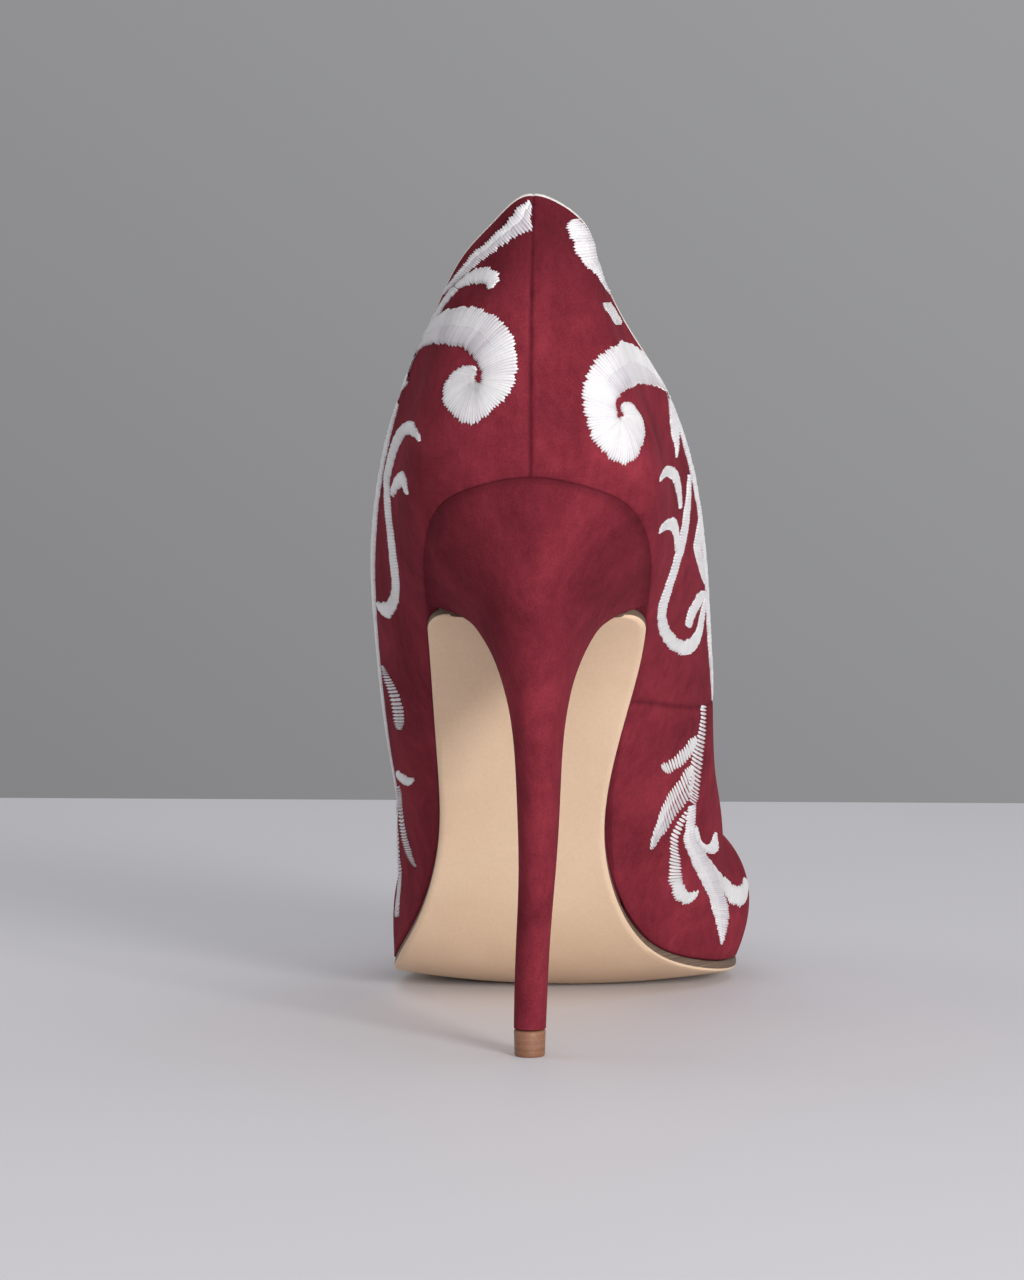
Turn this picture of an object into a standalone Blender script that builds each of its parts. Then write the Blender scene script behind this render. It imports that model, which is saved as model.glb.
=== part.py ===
"""A left stiletto pump with a pointed toe: a closed suede upper, a leather outsole, a covered needle heel, its tip and an insole."""

import math

import bpy
import numpy as np

# Named sizes in millimetres: the origin is the middle of the heel tip on the floor
LENGTH = 210.0
BACK_Y = -17.0
BALL_WIDTH = 78.0
SEAT_HEIGHT = 120.6
TOE_SPRING = 4.5
COUNTER_HEIGHT = 56.4
THROAT_HEIGHT = 39.6
WALL = 1.8
SOLE_THICKNESS = 2.5
SOLE_INSET = 0.3
SOLE_CORNER = 5.0
TREAD_PRESS = 0.57
INSOLE_THICKNESS = 1.6
INSOLE_MARGIN = 0.9
BREAST_Y = 21.4
TIP_WIDTH = 6.6
TIP_DEPTH = 7.0
TIP_HEIGHT = 5.5
TIP_TAPER = 0.15
GAP = 0.3

# Steps of the meshes
QUARTER_STEPS = 27
VAMP_STEPS = 16
RIB_STEPS = 15
SOLE_STEPS = 40
SOLE_ACROSS = 10
INSOLE_STEPS = 33
INSOLE_ACROSS = 8
HEEL_SIDE_STEPS = 14
HEEL_FRONT_STEPS = 6
TIP_SIDE_STEPS = 8
TIP_FRONT_STEPS = 4

# The feather line, where the upper meets the sole: a row per section from the back to the toe
# Columns: share of the length, then lateral and medial reach as shares of the ball width,
# rise as a share of the seat's rise behind the ball and of the toe spring ahead of it,
# and how far the bottom bellies below its edges as a share of the ball width
FEATHER = (
    ("back", 0.000, 0.013, 0.013, 1.000, 0.000),
    ("counter", 0.020, -0.149, 0.176, 0.978, 0.006),
    ("seat back", 0.059, -0.245, 0.279, 0.935, 0.013),
    ("seat", 0.118, -0.288, 0.320, 0.851, 0.015),
    ("breast", 0.186, -0.294, 0.309, 0.750, 0.013),
    ("shank back", 0.252, -0.294, 0.281, 0.636, 0.008),
    ("shank", 0.318, -0.290, 0.215, 0.468, 0.004),
    ("waist", 0.376, -0.294, 0.178, 0.3005, 0.004),
    ("waist front", 0.433, -0.349, 0.217, 0.155, 0.010),
    ("behind ball", 0.490, -0.419, 0.304, 0.062, 0.023),
    ("vamp side", 0.543, -0.450, 0.415, 0.020, 0.035),
    ("throat", 0.600, -0.456, 0.510, 0.002, 0.041),
    ("medial ball", 0.664, -0.436, 0.538, 0.000, 0.041),
    ("toe back", 0.735, -0.386, 0.490, 0.080, 0.038),
    ("toe", 0.810, -0.295, 0.402, 0.242, 0.031),
    ("toe front", 0.886, -0.180, 0.297, 0.512, 0.020),
    ("point back", 0.950, -0.078, 0.202, 0.782, 0.010),
    ("point", 0.986, -0.012, 0.138, 0.944, 0.004),
    ("tip", 1.000, 0.063, 0.063, 1.000, 0.000),
)

# The upper's top edge, and forward of the throat its ridge, with the same rows
# Columns: share of the length, height over the feather line as a share of the counter's
# height behind the throat and of the throat's from there on, lateral and medial reach
TOP = (
    ("back", 0.013, 1.000, 0.017, 0.017),
    ("counter", 0.032, 0.955, -0.084, 0.142),
    ("seat back", 0.071, 0.900, -0.181, 0.180),
    ("seat", 0.132, 0.851, -0.268, 0.245),
    ("breast", 0.207, 0.798, -0.362, 0.352),
    ("shank back", 0.288, 0.723, -0.436, 0.422),
    ("shank", 0.369, 0.736, -0.476, 0.452),
    ("waist", 0.445, 0.776, -0.482, 0.464),
    ("waist front", 0.514, 0.791, -0.472, 0.470),
    ("behind ball", 0.571, 0.774, -0.430, 0.448),
    ("vamp side", 0.629, 0.693, -0.300, 0.362),
    ("throat", 0.670, 1.000, 0.045, 0.045),
    ("medial ball", 0.715, 0.929, 0.051, 0.051),
    ("toe back", 0.768, 0.813, 0.056, 0.056),
    ("toe", 0.828, 0.656, 0.060, 0.060),
    ("toe front", 0.886, 0.487, 0.063, 0.063),
    ("point back", 0.930, 0.338, 0.063, 0.063),
    ("point", 0.952, 0.251, 0.063, 0.063),
    ("tip", 0.961, 0.215, 0.063, 0.063),
)
THROAT_ROW = [row[0] for row in TOP].index("throat")
BALL_ROW = [row[0] for row in FEATHER].index("medial ball")

# How each rib of the upper leaves the feather and reaches the top, with the same rows
# Columns: turn of the outward side from square, then lateral flare and lean and medial
# flare and lean in degrees, then the low and high handles as shares of the rib's chord
RIB = (
    ("back", -90, 14, 14, 14, 14, 0.36, 0.36),
    ("counter", -58, 18, 14, 18, 14, 0.36, 0.36),
    ("seat back", -27, 24, 12, 22, 12, 0.36, 0.36),
    ("seat", -8, 28, 8, 24, 8, 0.37, 0.36),
    ("breast", 0, 32, 2, 30, 2, 0.38, 0.36),
    ("shank back", 0, 34, -2, 36, 0, 0.39, 0.36),
    ("shank", 0, 32, -6, 44, -3, 0.40, 0.36),
    ("waist", 0, 28, -6, 48, -3, 0.41, 0.36),
    ("waist front", 0, 11, -4, 48, 2, 0.41, 0.35),
    ("behind ball", 0, -4, 10, 42, 22, 0.41, 0.34),
    ("vamp side", 0, -4, 62, 34, 60, 0.43, 0.35),
    ("throat", 0, 10, 90, 28, 90, 0.49, 0.50),
    ("medial ball", 2, 13, 90, 21, 90, 0.47, 0.50),
    ("toe back", 6, 14, 90, 16, 90, 0.43, 0.48),
    ("toe", 13, 14, 90, 15, 90, 0.40, 0.46),
    ("toe front", 26, 14, 90, 15, 90, 0.38, 0.44),
    ("point back", 47, 14, 90, 15, 90, 0.37, 0.42),
    ("point", 70, 15, 90, 15, 90, 0.36, 0.42),
    ("tip", 90, 15, 90, 15, 90, 0.36, 0.42),
)

# The heel from the seat down: a row per section, its sizes between the foot's and the seat's
# Columns: height at its back and at its front, back edge, front edge and half width as shares
# of the way from the foot to the seat, middle across as a share of the ball width, and its
# breast as a share of the half width
HEEL = (
    ("lip", 0.971, 0.983, 1.000, 0.930, 0.861, 0.013, 0.74),
    ("flare", 0.932, 0.950, 0.962, 0.820, 0.672, 0.013, 0.63),
    ("under flare", 0.884, 0.910, 0.902, 0.688, 0.502, 0.014, 0.60),
    ("bowl", 0.823, 0.860, 0.820, 0.512, 0.356, 0.017, 0.59),
    ("neck", 0.744, 0.799, 0.684, 0.366, 0.234, 0.019, 0.58),
    ("upper stem", 0.652, 0.725, 0.526, 0.254, 0.142, 0.022, 0.58),
    ("stem", 0.548, 0.642, 0.383, 0.171, 0.085, 0.024, 0.58),
    ("middle stem", 0.430, 0.530, 0.256, 0.102, 0.055, 0.024, 0.58),
    ("low stem", 0.290, 0.374, 0.135, 0.054, 0.027, 0.020, 0.60),
    ("ankle", 0.141, 0.192, 0.053, 0.020, 0.010, 0.009, 0.62),
    ("foot", 0.000, 0.000, 0.000, 0.000, 0.000, 0.001, 0.64),
)


def column(table, index):
    """One column of a table as an array."""
    return np.array([row[index] for row in table], float)


def natural_spline(values):
    """A cubic curve through values at 0, 1, 2 and so on, straight at its ends."""
    values = np.asarray(values, float)
    count = len(values)
    matrix = np.eye(count)
    right = np.zeros(count)
    for i in range(1, count - 1):
        matrix[i, i - 1 : i + 2] = (1.0, 4.0, 1.0)
        right[i] = 6.0 * (values[i - 1] - 2.0 * values[i] + values[i + 1])
    bend = np.linalg.solve(matrix, right)
    return values, bend


def ring_spline(values):
    """A closed cubic curve through values at 0, 1, 2 and so on, the last one before the first."""
    values = np.asarray(values, float)
    count = len(values)
    matrix = np.zeros((count, count))
    right = np.zeros(count)
    for i in range(count):
        before, after = (i - 1) % count, (i + 1) % count
        matrix[i, before] += 1.0
        matrix[i, i] += 4.0
        matrix[i, after] += 1.0
        right[i] = 6.0 * (values[before] - 2.0 * values[i] + values[after])
    bend = np.linalg.solve(matrix, right)
    return np.append(values, values[0]), np.append(bend, bend[0])


def along(spline, place):
    """The spline's value at a place, counted in rows."""
    values, bend = spline
    place = np.asarray(place, float)
    low = np.clip(np.floor(place).astype(int), 0, len(values) - 2)
    b = place - low
    a = 1.0 - b
    line = a * values[low] + b * values[low + 1]
    return line + ((a**3 - a) * bend[low] + (b**3 - b) * bend[low + 1]) / 6.0


def both_sides(lateral, medial):
    """The rows of the lateral side from the toe to the back, then the medial side to the toe."""
    return np.concatenate([lateral[::-1], medial[1:]])


LAST_ROW = len(FEATHER) - 1
BELLIES = column(FEATHER, 5) * BALL_WIDTH
TREAD = SOLE_THICKNESS + GAP + BELLIES.max() - TREAD_PRESS


def feather_heights():
    """The height of the feather line in each row: the tread lies flat on the floor at the ball."""
    rise = column(FEATHER, 4)
    ahead = np.arange(len(rise)) > BALL_ROW
    return TREAD + rise * np.where(ahead, TOE_SPRING, SEAT_HEIGHT - TREAD)


def top_heights():
    """The height of the top edge and the ridge in each row."""
    share = column(TOP, 2)
    ahead = np.arange(len(share)) >= THROAT_ROW
    return feather_heights() + share * np.where(ahead, THROAT_HEIGHT, COUNTER_HEIGHT)


def feather_splines():
    reach = both_sides(column(FEATHER, 2), column(FEATHER, 3)) * BALL_WIDTH
    share = both_sides(column(FEATHER, 1), column(FEATHER, 1)) * LENGTH + BACK_Y
    height = both_sides(feather_heights(), feather_heights())
    return [ring_spline(values[:-1]) for values in (reach, share, height)]


def top_splines():
    quarter = slice(0, THROAT_ROW + 1)
    reach = both_sides(column(TOP, 3)[quarter], column(TOP, 4)[quarter]) * BALL_WIDTH
    share = both_sides(column(TOP, 1)[quarter], column(TOP, 1)[quarter]) * LENGTH + BACK_Y
    height = both_sides(top_heights()[quarter], top_heights()[quarter])
    edge = [ring_spline(values[:-1]) for values in (reach, share, height)]
    ridge = [
        natural_spline(column(TOP, 3)[THROAT_ROW:] * BALL_WIDTH),
        natural_spline(column(TOP, 1)[THROAT_ROW:] * LENGTH + BACK_Y),
        natural_spline(top_heights()[THROAT_ROW:]),
    ]
    return edge, ridge


FEATHER_CURVE = feather_splines()
TOP_EDGE, RIDGE = top_splines()
FLARE = natural_spline(both_sides(column(RIB, 2), column(RIB, 4)))
LEAN = natural_spline(both_sides(column(RIB, 3), column(RIB, 5)))
TURN = natural_spline(column(RIB, 1))
LOW = natural_spline(column(RIB, 6))
HIGH = natural_spline(column(RIB, 7))
BELLY = natural_spline(BELLIES)


def feather_point(place):
    """The feather line at a place from -LAST_ROW, the toe by the lateral side, through 0, the back."""
    ring = (place + LAST_ROW) % (2 * LAST_ROW)
    return np.array([along(spline, ring) for spline in FEATHER_CURVE])


def top_point(place):
    """The top of the rib at this place, and the direction in which the ridge runs forward there."""
    row = abs(place)
    if row <= THROAT_ROW:
        ring = (place + THROAT_ROW) % (2 * THROAT_ROW)
        return np.array([along(spline, ring) for spline in TOP_EDGE]), np.array([0.0, 1.0, 0.0])
    at = row - THROAT_ROW
    step = 0.01
    point = np.array([along(spline, at) for spline in RIDGE])
    ahead = np.array([along(spline, min(at + step, LAST_ROW - THROAT_ROW)) for spline in RIDGE])
    behind = np.array([along(spline, at - step) for spline in RIDGE])
    forward = ahead - behind
    return point, forward / np.linalg.norm(forward)


def unit(vector):
    return vector / np.linalg.norm(vector)


def rib_handles(place):
    """The four points that shape the rib at this place."""
    side = 1.0 if place >= 0 else -1.0
    row = abs(place)
    foot = feather_point(place)
    head, forward = top_point(place)
    turn = math.radians(float(along(TURN, row)))
    outward = np.array([side * math.cos(turn), math.sin(turn), 0.0])
    chord = head - foot
    length = np.linalg.norm(chord)
    rise = chord - outward * chord.dot(outward)
    if row > THROAT_ROW:
        rise = np.array([0.0, rise[1], rise[2]])
    rise = unit(rise)
    flare = math.radians(float(along(FLARE, place + LAST_ROW)))
    lean = math.radians(min(90.0, float(along(LEAN, place + LAST_ROW))))
    if row >= THROAT_ROW:
        lean = math.pi / 2
    leave = math.cos(flare) * rise + math.sin(flare) * outward
    back = outward
    if row > THROAT_ROW:
        back = unit(np.array([side * math.cos(turn), 0.0, 0.0]) + math.sin(turn) * forward)
    arrive = math.cos(lean) * rise - math.sin(lean) * back
    low = float(along(LOW, row)) * length
    high = float(along(HIGH, row)) * length
    return foot, foot + low * leave, head - high * arrive, head


def rib_point(handles, share):
    a, b, c, d = handles
    rest = 1.0 - share
    return rest**3 * a + 3 * rest**2 * share * b + 3 * rest * share**2 * c + share**3 * d


def make_object(name, points, faces, material):
    mesh = bpy.data.meshes.new(name)
    mesh.from_pydata([tuple(0.001 * c for c in point) for point in points], [], faces)
    mesh.materials.append(material)
    mesh.validate()
    item = bpy.data.objects.new(name, mesh)
    bpy.context.scene.collection.objects.link(item)
    return item


def upper_places(quarter_steps, vamp_steps):
    """The places of the ribs along one side, one of them at the throat."""
    quarter = np.linspace(0.0, THROAT_ROW, quarter_steps + 1)
    vamp = np.linspace(THROAT_ROW, LAST_ROW, vamp_steps + 1)
    return np.concatenate([quarter, vamp[1:]])


def vertex_normals(points, faces):
    normals = np.zeros_like(points)
    for face in faces:
        corners = points[list(face)]
        normal = np.zeros(3)
        for i in range(len(face)):
            normal += np.cross(corners[i], corners[(i + 1) % len(face)])
        for index in face:
            normals[index] += normal
    return normals / np.linalg.norm(normals, axis=1)[:, None]


def shell_faces(quarter_steps, vamp_steps, rows):
    """Index of each rib's points and the faces between ribs, with the vamp's two sides joined on its ridge."""
    side = upper_places(quarter_steps, vamp_steps)
    places = np.concatenate([-side[::-1], side[1:-1]])
    index = {}
    points = []
    for i, place in enumerate(places):
        handles = rib_handles(place)
        for j in range(rows + 1):
            on_ridge = j == rows and abs(place) > THROAT_ROW - 1e-9
            mirror = (len(places) - i) % len(places)
            if on_ridge and (mirror, j) in index:
                index[i, j] = index[mirror, j]
                continue
            index[i, j] = len(points)
            points.append(rib_point(handles, j / rows))
    faces = []
    for i in range(len(places)):
        after = (i + 1) % len(places)
        for j in range(rows):
            quad = [index[i, j], index[after, j], index[after, j + 1], index[i, j + 1]]
            faces.append(tuple(dict.fromkeys(quad)))
    return np.array(points), faces, places


def build_upper(material):
    points, faces, places = shell_faces(QUARTER_STEPS, VAMP_STEPS, RIB_STEPS)
    normals = vertex_normals(points, faces)
    inner = points - WALL * normals
    count = len(points)
    solid = list(faces) + [tuple(count + i for i in reversed(face)) for face in faces]
    uses = {}
    for face in faces:
        for a, b in zip(face, face[1:] + face[:1]):
            uses[a, b] = uses.get((a, b), 0) + 1
    for (a, b) in uses:
        if (b, a) not in uses:
            solid.append((b, a, count + a, count + b))
    return make_object("upper", np.concatenate([points, inner]), solid, material)


FINE = np.linspace(0.0, LAST_ROW, 901)
LATERAL_LINE = np.array([feather_point(-place) for place in FINE])
MEDIAL_LINE = np.array([feather_point(place) for place in FINE])


def bottom_height(x, y):
    """The height of the last's bottom over a point of the plan."""
    place = np.interp(y, LATERAL_LINE[:, 1], FINE)
    lateral = np.array([np.interp(place, FINE, LATERAL_LINE[:, k]) for k in (0, 2)])
    medial = np.array([np.interp(place, FINE, MEDIAL_LINE[:, k]) for k in (0, 2)])
    half = max(0.5 * (medial[0] - lateral[0]), 0.5)
    across = (x - 0.5 * (lateral[0] + medial[0])) / half
    across = min(max(across, -1.0), 1.0)
    belly = max(float(along(BELLY, place)), 0.0) * min(1.0, half / 6.0)
    return 0.5 * (lateral[1] + medial[1]) - belly * (1.0 - across**2)


def bottom_normal(x, y):
    """The upward direction square to the last's bottom there."""
    step = 0.8
    slope_x = (bottom_height(x + step, y) - bottom_height(x - step, y)) / (2 * step)
    low, high = max(y - step, BACK_Y), min(y + step, BACK_Y + LENGTH)
    slope_y = (bottom_height(x, high) - bottom_height(x, low)) / (high - low)
    return unit(np.array([-slope_x, -slope_y, 1.0]))


def outline_point(place, inset):
    """A point of the plan inside the feather line by the inset, at a place on either side."""
    step = 0.02
    ahead, behind = feather_point(place + step), feather_point(place - step)
    run = unit((ahead - behind)[:2])
    inward = np.array([-run[1], run[0]])
    return feather_point(place)[:2] + inset * inward


def bottom_row(place, width, inset, shares):
    """Points of the bottom from the lateral to the medial side at a place."""
    lateral, medial = outline_point(-place, inset), outline_point(place, inset)
    middle, half = 0.5 * (lateral + medial), 0.5 * (medial - lateral)
    row = []
    for share in shares:
        x, y = middle + half * share * width
        row.append(np.array([x, y, bottom_height(x, y)]))
    return row


def plate(name, places, widths, inset, rise, thickness, across_steps, material, floor=None):
    """A plate that follows the last's bottom: it starts at the rise and grows by its thickness."""
    shares = np.sin(np.linspace(-math.pi / 2, math.pi / 2, across_steps + 1))
    near = []
    far = []
    for place, width in zip(places, widths):
        for point in bottom_row(place, width, inset, shares):
            normal = bottom_normal(point[0], point[1])
            near.append(point + rise * normal)
            far.append(point + (rise + thickness) * normal)
    if floor is not None:
        far = [np.array([x, y, max(z, floor)]) for x, y, z in far]
    points = near + far
    rows, columns = len(places), across_steps + 1
    count = rows * columns
    faces = []
    for i in range(rows - 1):
        for j in range(columns - 1):
            a, b = i * columns + j, i * columns + j + 1
            c, d = (i + 1) * columns + j + 1, (i + 1) * columns + j
            faces.append((a, b, c, d))
            faces.append((count + a, count + d, count + c, count + b))
    for i in range(rows - 1):
        for j, turned in ((0, False), (columns - 1, True)):
            a, b = i * columns + j, (i + 1) * columns + j
            side = (a, b, count + b, count + a)
            faces.append(side[::-1] if turned else side)
    for i, turned in ((0, True), (rows - 1, False)):
        for j in range(columns - 1):
            a, b = i * columns + j, i * columns + j + 1
            end = (a, b, count + b, count + a)
            faces.append(end[::-1] if turned else end)
    if thickness > 0:
        faces = [face[::-1] for face in faces]
    return make_object(name, points, faces, material)


def place_at(y):
    """The place whose feather stands at this distance along the shoe."""
    return float(np.interp(y, LATERAL_LINE[:, 1], FINE))


def corner_width(distance, radius, half):
    """The share of the width that a rounded corner leaves, this far from the square end."""
    if distance >= radius:
        return 1.0
    near = radius - max(distance, 0.0)
    lost = radius - math.sqrt(max(radius**2 - near**2, 0.0))
    return 1.0 - lost / half


def build_outsole(material):
    start = place_at(BREAST_Y + GAP)
    end = LAST_ROW - 0.12
    shares = np.linspace(0.0, 1.0, SOLE_STEPS + 1)
    corner = [place_at(BREAST_Y + GAP + share * SOLE_CORNER) for share in (0.1, 0.26, 0.52)]
    places = [start] + corner
    places += [p for p in start + (end - start) * shares if p > corner[-1] + 0.05]
    places += [LAST_ROW - 0.04]
    widths = []
    for place in places:
        distance = feather_point(place)[1] - BREAST_Y - GAP
        half = 0.5 * (feather_point(place)[0] - feather_point(-place)[0])
        widths.append(corner_width(distance, SOLE_CORNER, half))
    return plate("outsole", places, widths, SOLE_INSET, -GAP, -SOLE_THICKNESS, SOLE_ACROSS, material, 0.0)


def build_insole(material):
    places = [0.06, 0.16, 0.3] + list(np.linspace(0.5, LAST_ROW - 0.5, INSOLE_STEPS))
    places += [LAST_ROW - 0.28, LAST_ROW - 0.12, LAST_ROW - 0.04]
    widths = [1.0] * len(places)
    inset = WALL + INSOLE_MARGIN
    return plate("insole", places, widths, inset, 0.5 * GAP, INSOLE_THICKNESS, INSOLE_ACROSS, material)


def seat_outline(side_steps, front_steps):
    """The seat's edge from the back along the lateral side, across the breast and back by the medial side."""
    places = place_at(BREAST_Y) * np.linspace(0.0, 1.0, side_steps + 1)
    lateral = [outline_point(-place, SOLE_INSET) for place in places]
    medial = [outline_point(place, SOLE_INSET) for place in places]
    front = [
        lateral[-1] + (medial[-1] - lateral[-1]) * share
        for share in np.linspace(0.0, 1.0, front_steps + 1)[1:-1]
    ]
    back = 0.5 * (lateral[0] + medial[0])
    plan = [back] + lateral[1:] + front + medial[:0:-1]
    loop = []
    for x, y in plan:
        point = np.array([x, y, bottom_height(x, y)])
        loop.append(point - GAP * bottom_normal(x, y))
    return loop


def heel_section(size, side_steps, front_steps):
    """One section of the heel, from its back along the lateral side, across the breast and back."""
    back_z, front_z, back_y, front_y, half, middle, breast = size
    widest = 0.56
    depths = [0.5 - 0.5 * math.cos(math.pi * share) for share in np.linspace(0.0, 1.0, side_steps + 1)]

    def place(depth, reach):
        y = back_y + (front_y - back_y) * depth
        z = back_z + (front_z - back_z) * depth
        return np.array([middle + reach, y, z])

    def reach(depth):
        if depth < widest:
            return half * math.sqrt(max(0.0, 1.0 - ((widest - depth) / widest) ** 2))
        rest = (depth - widest) / (1.0 - widest)
        return half * (breast + (1.0 - breast) * math.sqrt(max(0.0, 1.0 - rest**2)))

    fronts = half * breast * np.linspace(-1.0, 1.0, front_steps + 1)[1:-1]
    loop = [place(0.0, 0.0)]
    loop += [place(depth, -reach(depth)) for depth in depths[1:]]
    loop += [place(1.0, front) for front in fronts]
    loop += [place(depth, reach(depth)) for depth in depths[:0:-1]]
    return loop


def heel_size(row, seat):
    """The sizes of a heel section in millimetres, from its row and the seat's outline."""
    _, back_z, front_z, back_y, front_y, half, middle, breast = row
    foot_z = TIP_HEIGHT + GAP
    seat = np.array(seat)
    seat_half = 0.5 * (seat[:, 0].max() - seat[:, 0].min())
    return (
        foot_z + back_z * (seat[:, 2].max() - foot_z),
        foot_z + front_z * (seat[:, 2].min() - foot_z),
        -0.5 * TIP_DEPTH + back_y * (seat[:, 1].min() + 0.5 * TIP_DEPTH),
        0.5 * TIP_DEPTH + front_y * (seat[:, 1].max() - 0.5 * TIP_DEPTH),
        0.5 * TIP_WIDTH + half * (seat_half - 0.5 * TIP_WIDTH),
        middle * BALL_WIDTH,
        breast,
    )


def build_heel(material):
    seat = seat_outline(HEEL_SIDE_STEPS, HEEL_FRONT_STEPS)
    loops = [seat]
    for row in HEEL:
        loops.append(heel_section(heel_size(row, seat), HEEL_SIDE_STEPS, HEEL_FRONT_STEPS))
    around = len(loops[0])
    points = [point for loop in loops for point in loop]
    faces = []
    for k in range(len(loops) - 1):
        for i in range(around):
            j = (i + 1) % around
            faces.append((k * around + i, k * around + j, (k + 1) * around + j, (k + 1) * around + i))
    top_middle = len(points)
    x, y = np.mean([point[:2] for point in seat], axis=0)
    points.append(np.array([x, y, bottom_height(x, y)]) - GAP * bottom_normal(x, y))
    for i in range(around):
        faces.append((top_middle, (i + 1) % around, i))
    last = (len(loops) - 1) * around
    faces.append(tuple(last + i for i in range(around)))
    return make_object("heel", points, faces, material)


def build_tip(material):
    middle, breast = HEEL[-1][6] * BALL_WIDTH, HEEL[-1][7]
    loops = []
    for z, taper in ((TIP_HEIGHT, 0.0), (0.0, TIP_TAPER)):
        reach = 0.5 * TIP_DEPTH - taper
        size = (z, z, -reach, reach, 0.5 * TIP_WIDTH - taper, middle, breast)
        loops.append(heel_section(size, TIP_SIDE_STEPS, TIP_FRONT_STEPS))
    around = len(loops[0])
    points = loops[0] + loops[1]
    faces = [(i, (i + 1) % around, around + (i + 1) % around, around + i) for i in range(around)]
    faces.append(tuple(reversed(range(around))))
    faces.append(tuple(range(around, 2 * around)))
    return make_object("heel_tip", points, faces, material)


def material(name, color):
    made = bpy.data.materials.new(name)
    made.diffuse_color = (*color, 1.0)
    return made


def main():
    for item in list(bpy.data.objects):
        bpy.data.objects.remove(item)
    suede = material("burgundy_suede", (0.24, 0.04, 0.07))
    leather = material("tan_sole_leather", (0.72, 0.50, 0.36))
    lining = material("pale_insole_leather", (0.80, 0.66, 0.54))
    rubber = material("brown_tip", (0.35, 0.20, 0.13))
    build_upper(suede)
    build_outsole(leather)
    build_insole(lining)
    build_heel(suede)
    build_tip(rubber)


main()
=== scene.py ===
"""The looks of a left stiletto pump: burgundy suede with white satin stitch scrolls and a tan sole."""

import math

import bpy
import numpy as np
from mathutils import Matrix
from mathutils.kdtree import KDTree


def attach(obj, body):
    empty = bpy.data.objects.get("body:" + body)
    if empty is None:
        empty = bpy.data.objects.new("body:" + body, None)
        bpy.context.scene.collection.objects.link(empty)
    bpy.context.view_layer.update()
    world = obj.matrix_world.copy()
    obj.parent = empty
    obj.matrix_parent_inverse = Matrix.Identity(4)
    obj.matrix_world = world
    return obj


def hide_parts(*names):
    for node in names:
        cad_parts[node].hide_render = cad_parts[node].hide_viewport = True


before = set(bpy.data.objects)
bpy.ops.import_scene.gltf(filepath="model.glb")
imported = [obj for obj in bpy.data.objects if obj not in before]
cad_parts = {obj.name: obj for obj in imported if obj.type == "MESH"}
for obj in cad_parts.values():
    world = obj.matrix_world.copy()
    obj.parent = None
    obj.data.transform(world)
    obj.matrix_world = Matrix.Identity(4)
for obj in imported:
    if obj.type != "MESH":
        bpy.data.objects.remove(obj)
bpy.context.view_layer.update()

# Named sizes in millimetres: the origin is the middle of the heel tip on the floor
LENGTH = 210.0
BACK_Y = -17.0
BALL_WIDTH = 78.0
SEAT_HEIGHT = 120.6
TOE_SPRING = 4.5
COUNTER_HEIGHT = 56.4
THROAT_HEIGHT = 39.6
WALL = 1.8
SOLE_THICKNESS = 2.5
SOLE_INSET = 0.3
SOLE_CORNER = 5.0
TREAD_PRESS = 0.57
INSOLE_THICKNESS = 1.6
INSOLE_MARGIN = 0.9
BREAST_Y = 21.4
TIP_WIDTH = 6.6
TIP_DEPTH = 7.0
TIP_HEIGHT = 5.5
TIP_TAPER = 0.15
GAP = 0.3

# The feather line, where the upper meets the sole: a row per section from the back to the toe
# Columns: share of the length, then lateral and medial reach as shares of the ball width,
# rise as a share of the seat's rise behind the ball and of the toe spring ahead of it,
# and how far the bottom bellies below its edges as a share of the ball width
FEATHER = (
    ("back", 0.000, 0.013, 0.013, 1.000, 0.000),
    ("counter", 0.020, -0.149, 0.176, 0.978, 0.006),
    ("seat back", 0.059, -0.245, 0.279, 0.935, 0.013),
    ("seat", 0.118, -0.288, 0.320, 0.851, 0.015),
    ("breast", 0.186, -0.294, 0.309, 0.750, 0.013),
    ("shank back", 0.252, -0.294, 0.281, 0.636, 0.008),
    ("shank", 0.318, -0.290, 0.215, 0.468, 0.004),
    ("waist", 0.376, -0.294, 0.178, 0.3005, 0.004),
    ("waist front", 0.433, -0.349, 0.217, 0.155, 0.010),
    ("behind ball", 0.490, -0.419, 0.304, 0.062, 0.023),
    ("vamp side", 0.543, -0.450, 0.415, 0.020, 0.035),
    ("throat", 0.600, -0.456, 0.510, 0.002, 0.041),
    ("medial ball", 0.664, -0.436, 0.538, 0.000, 0.041),
    ("toe back", 0.735, -0.386, 0.490, 0.080, 0.038),
    ("toe", 0.810, -0.295, 0.402, 0.242, 0.031),
    ("toe front", 0.886, -0.180, 0.297, 0.512, 0.020),
    ("point back", 0.950, -0.078, 0.202, 0.782, 0.010),
    ("point", 0.986, -0.012, 0.138, 0.944, 0.004),
    ("tip", 1.000, 0.063, 0.063, 1.000, 0.000),
)

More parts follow.
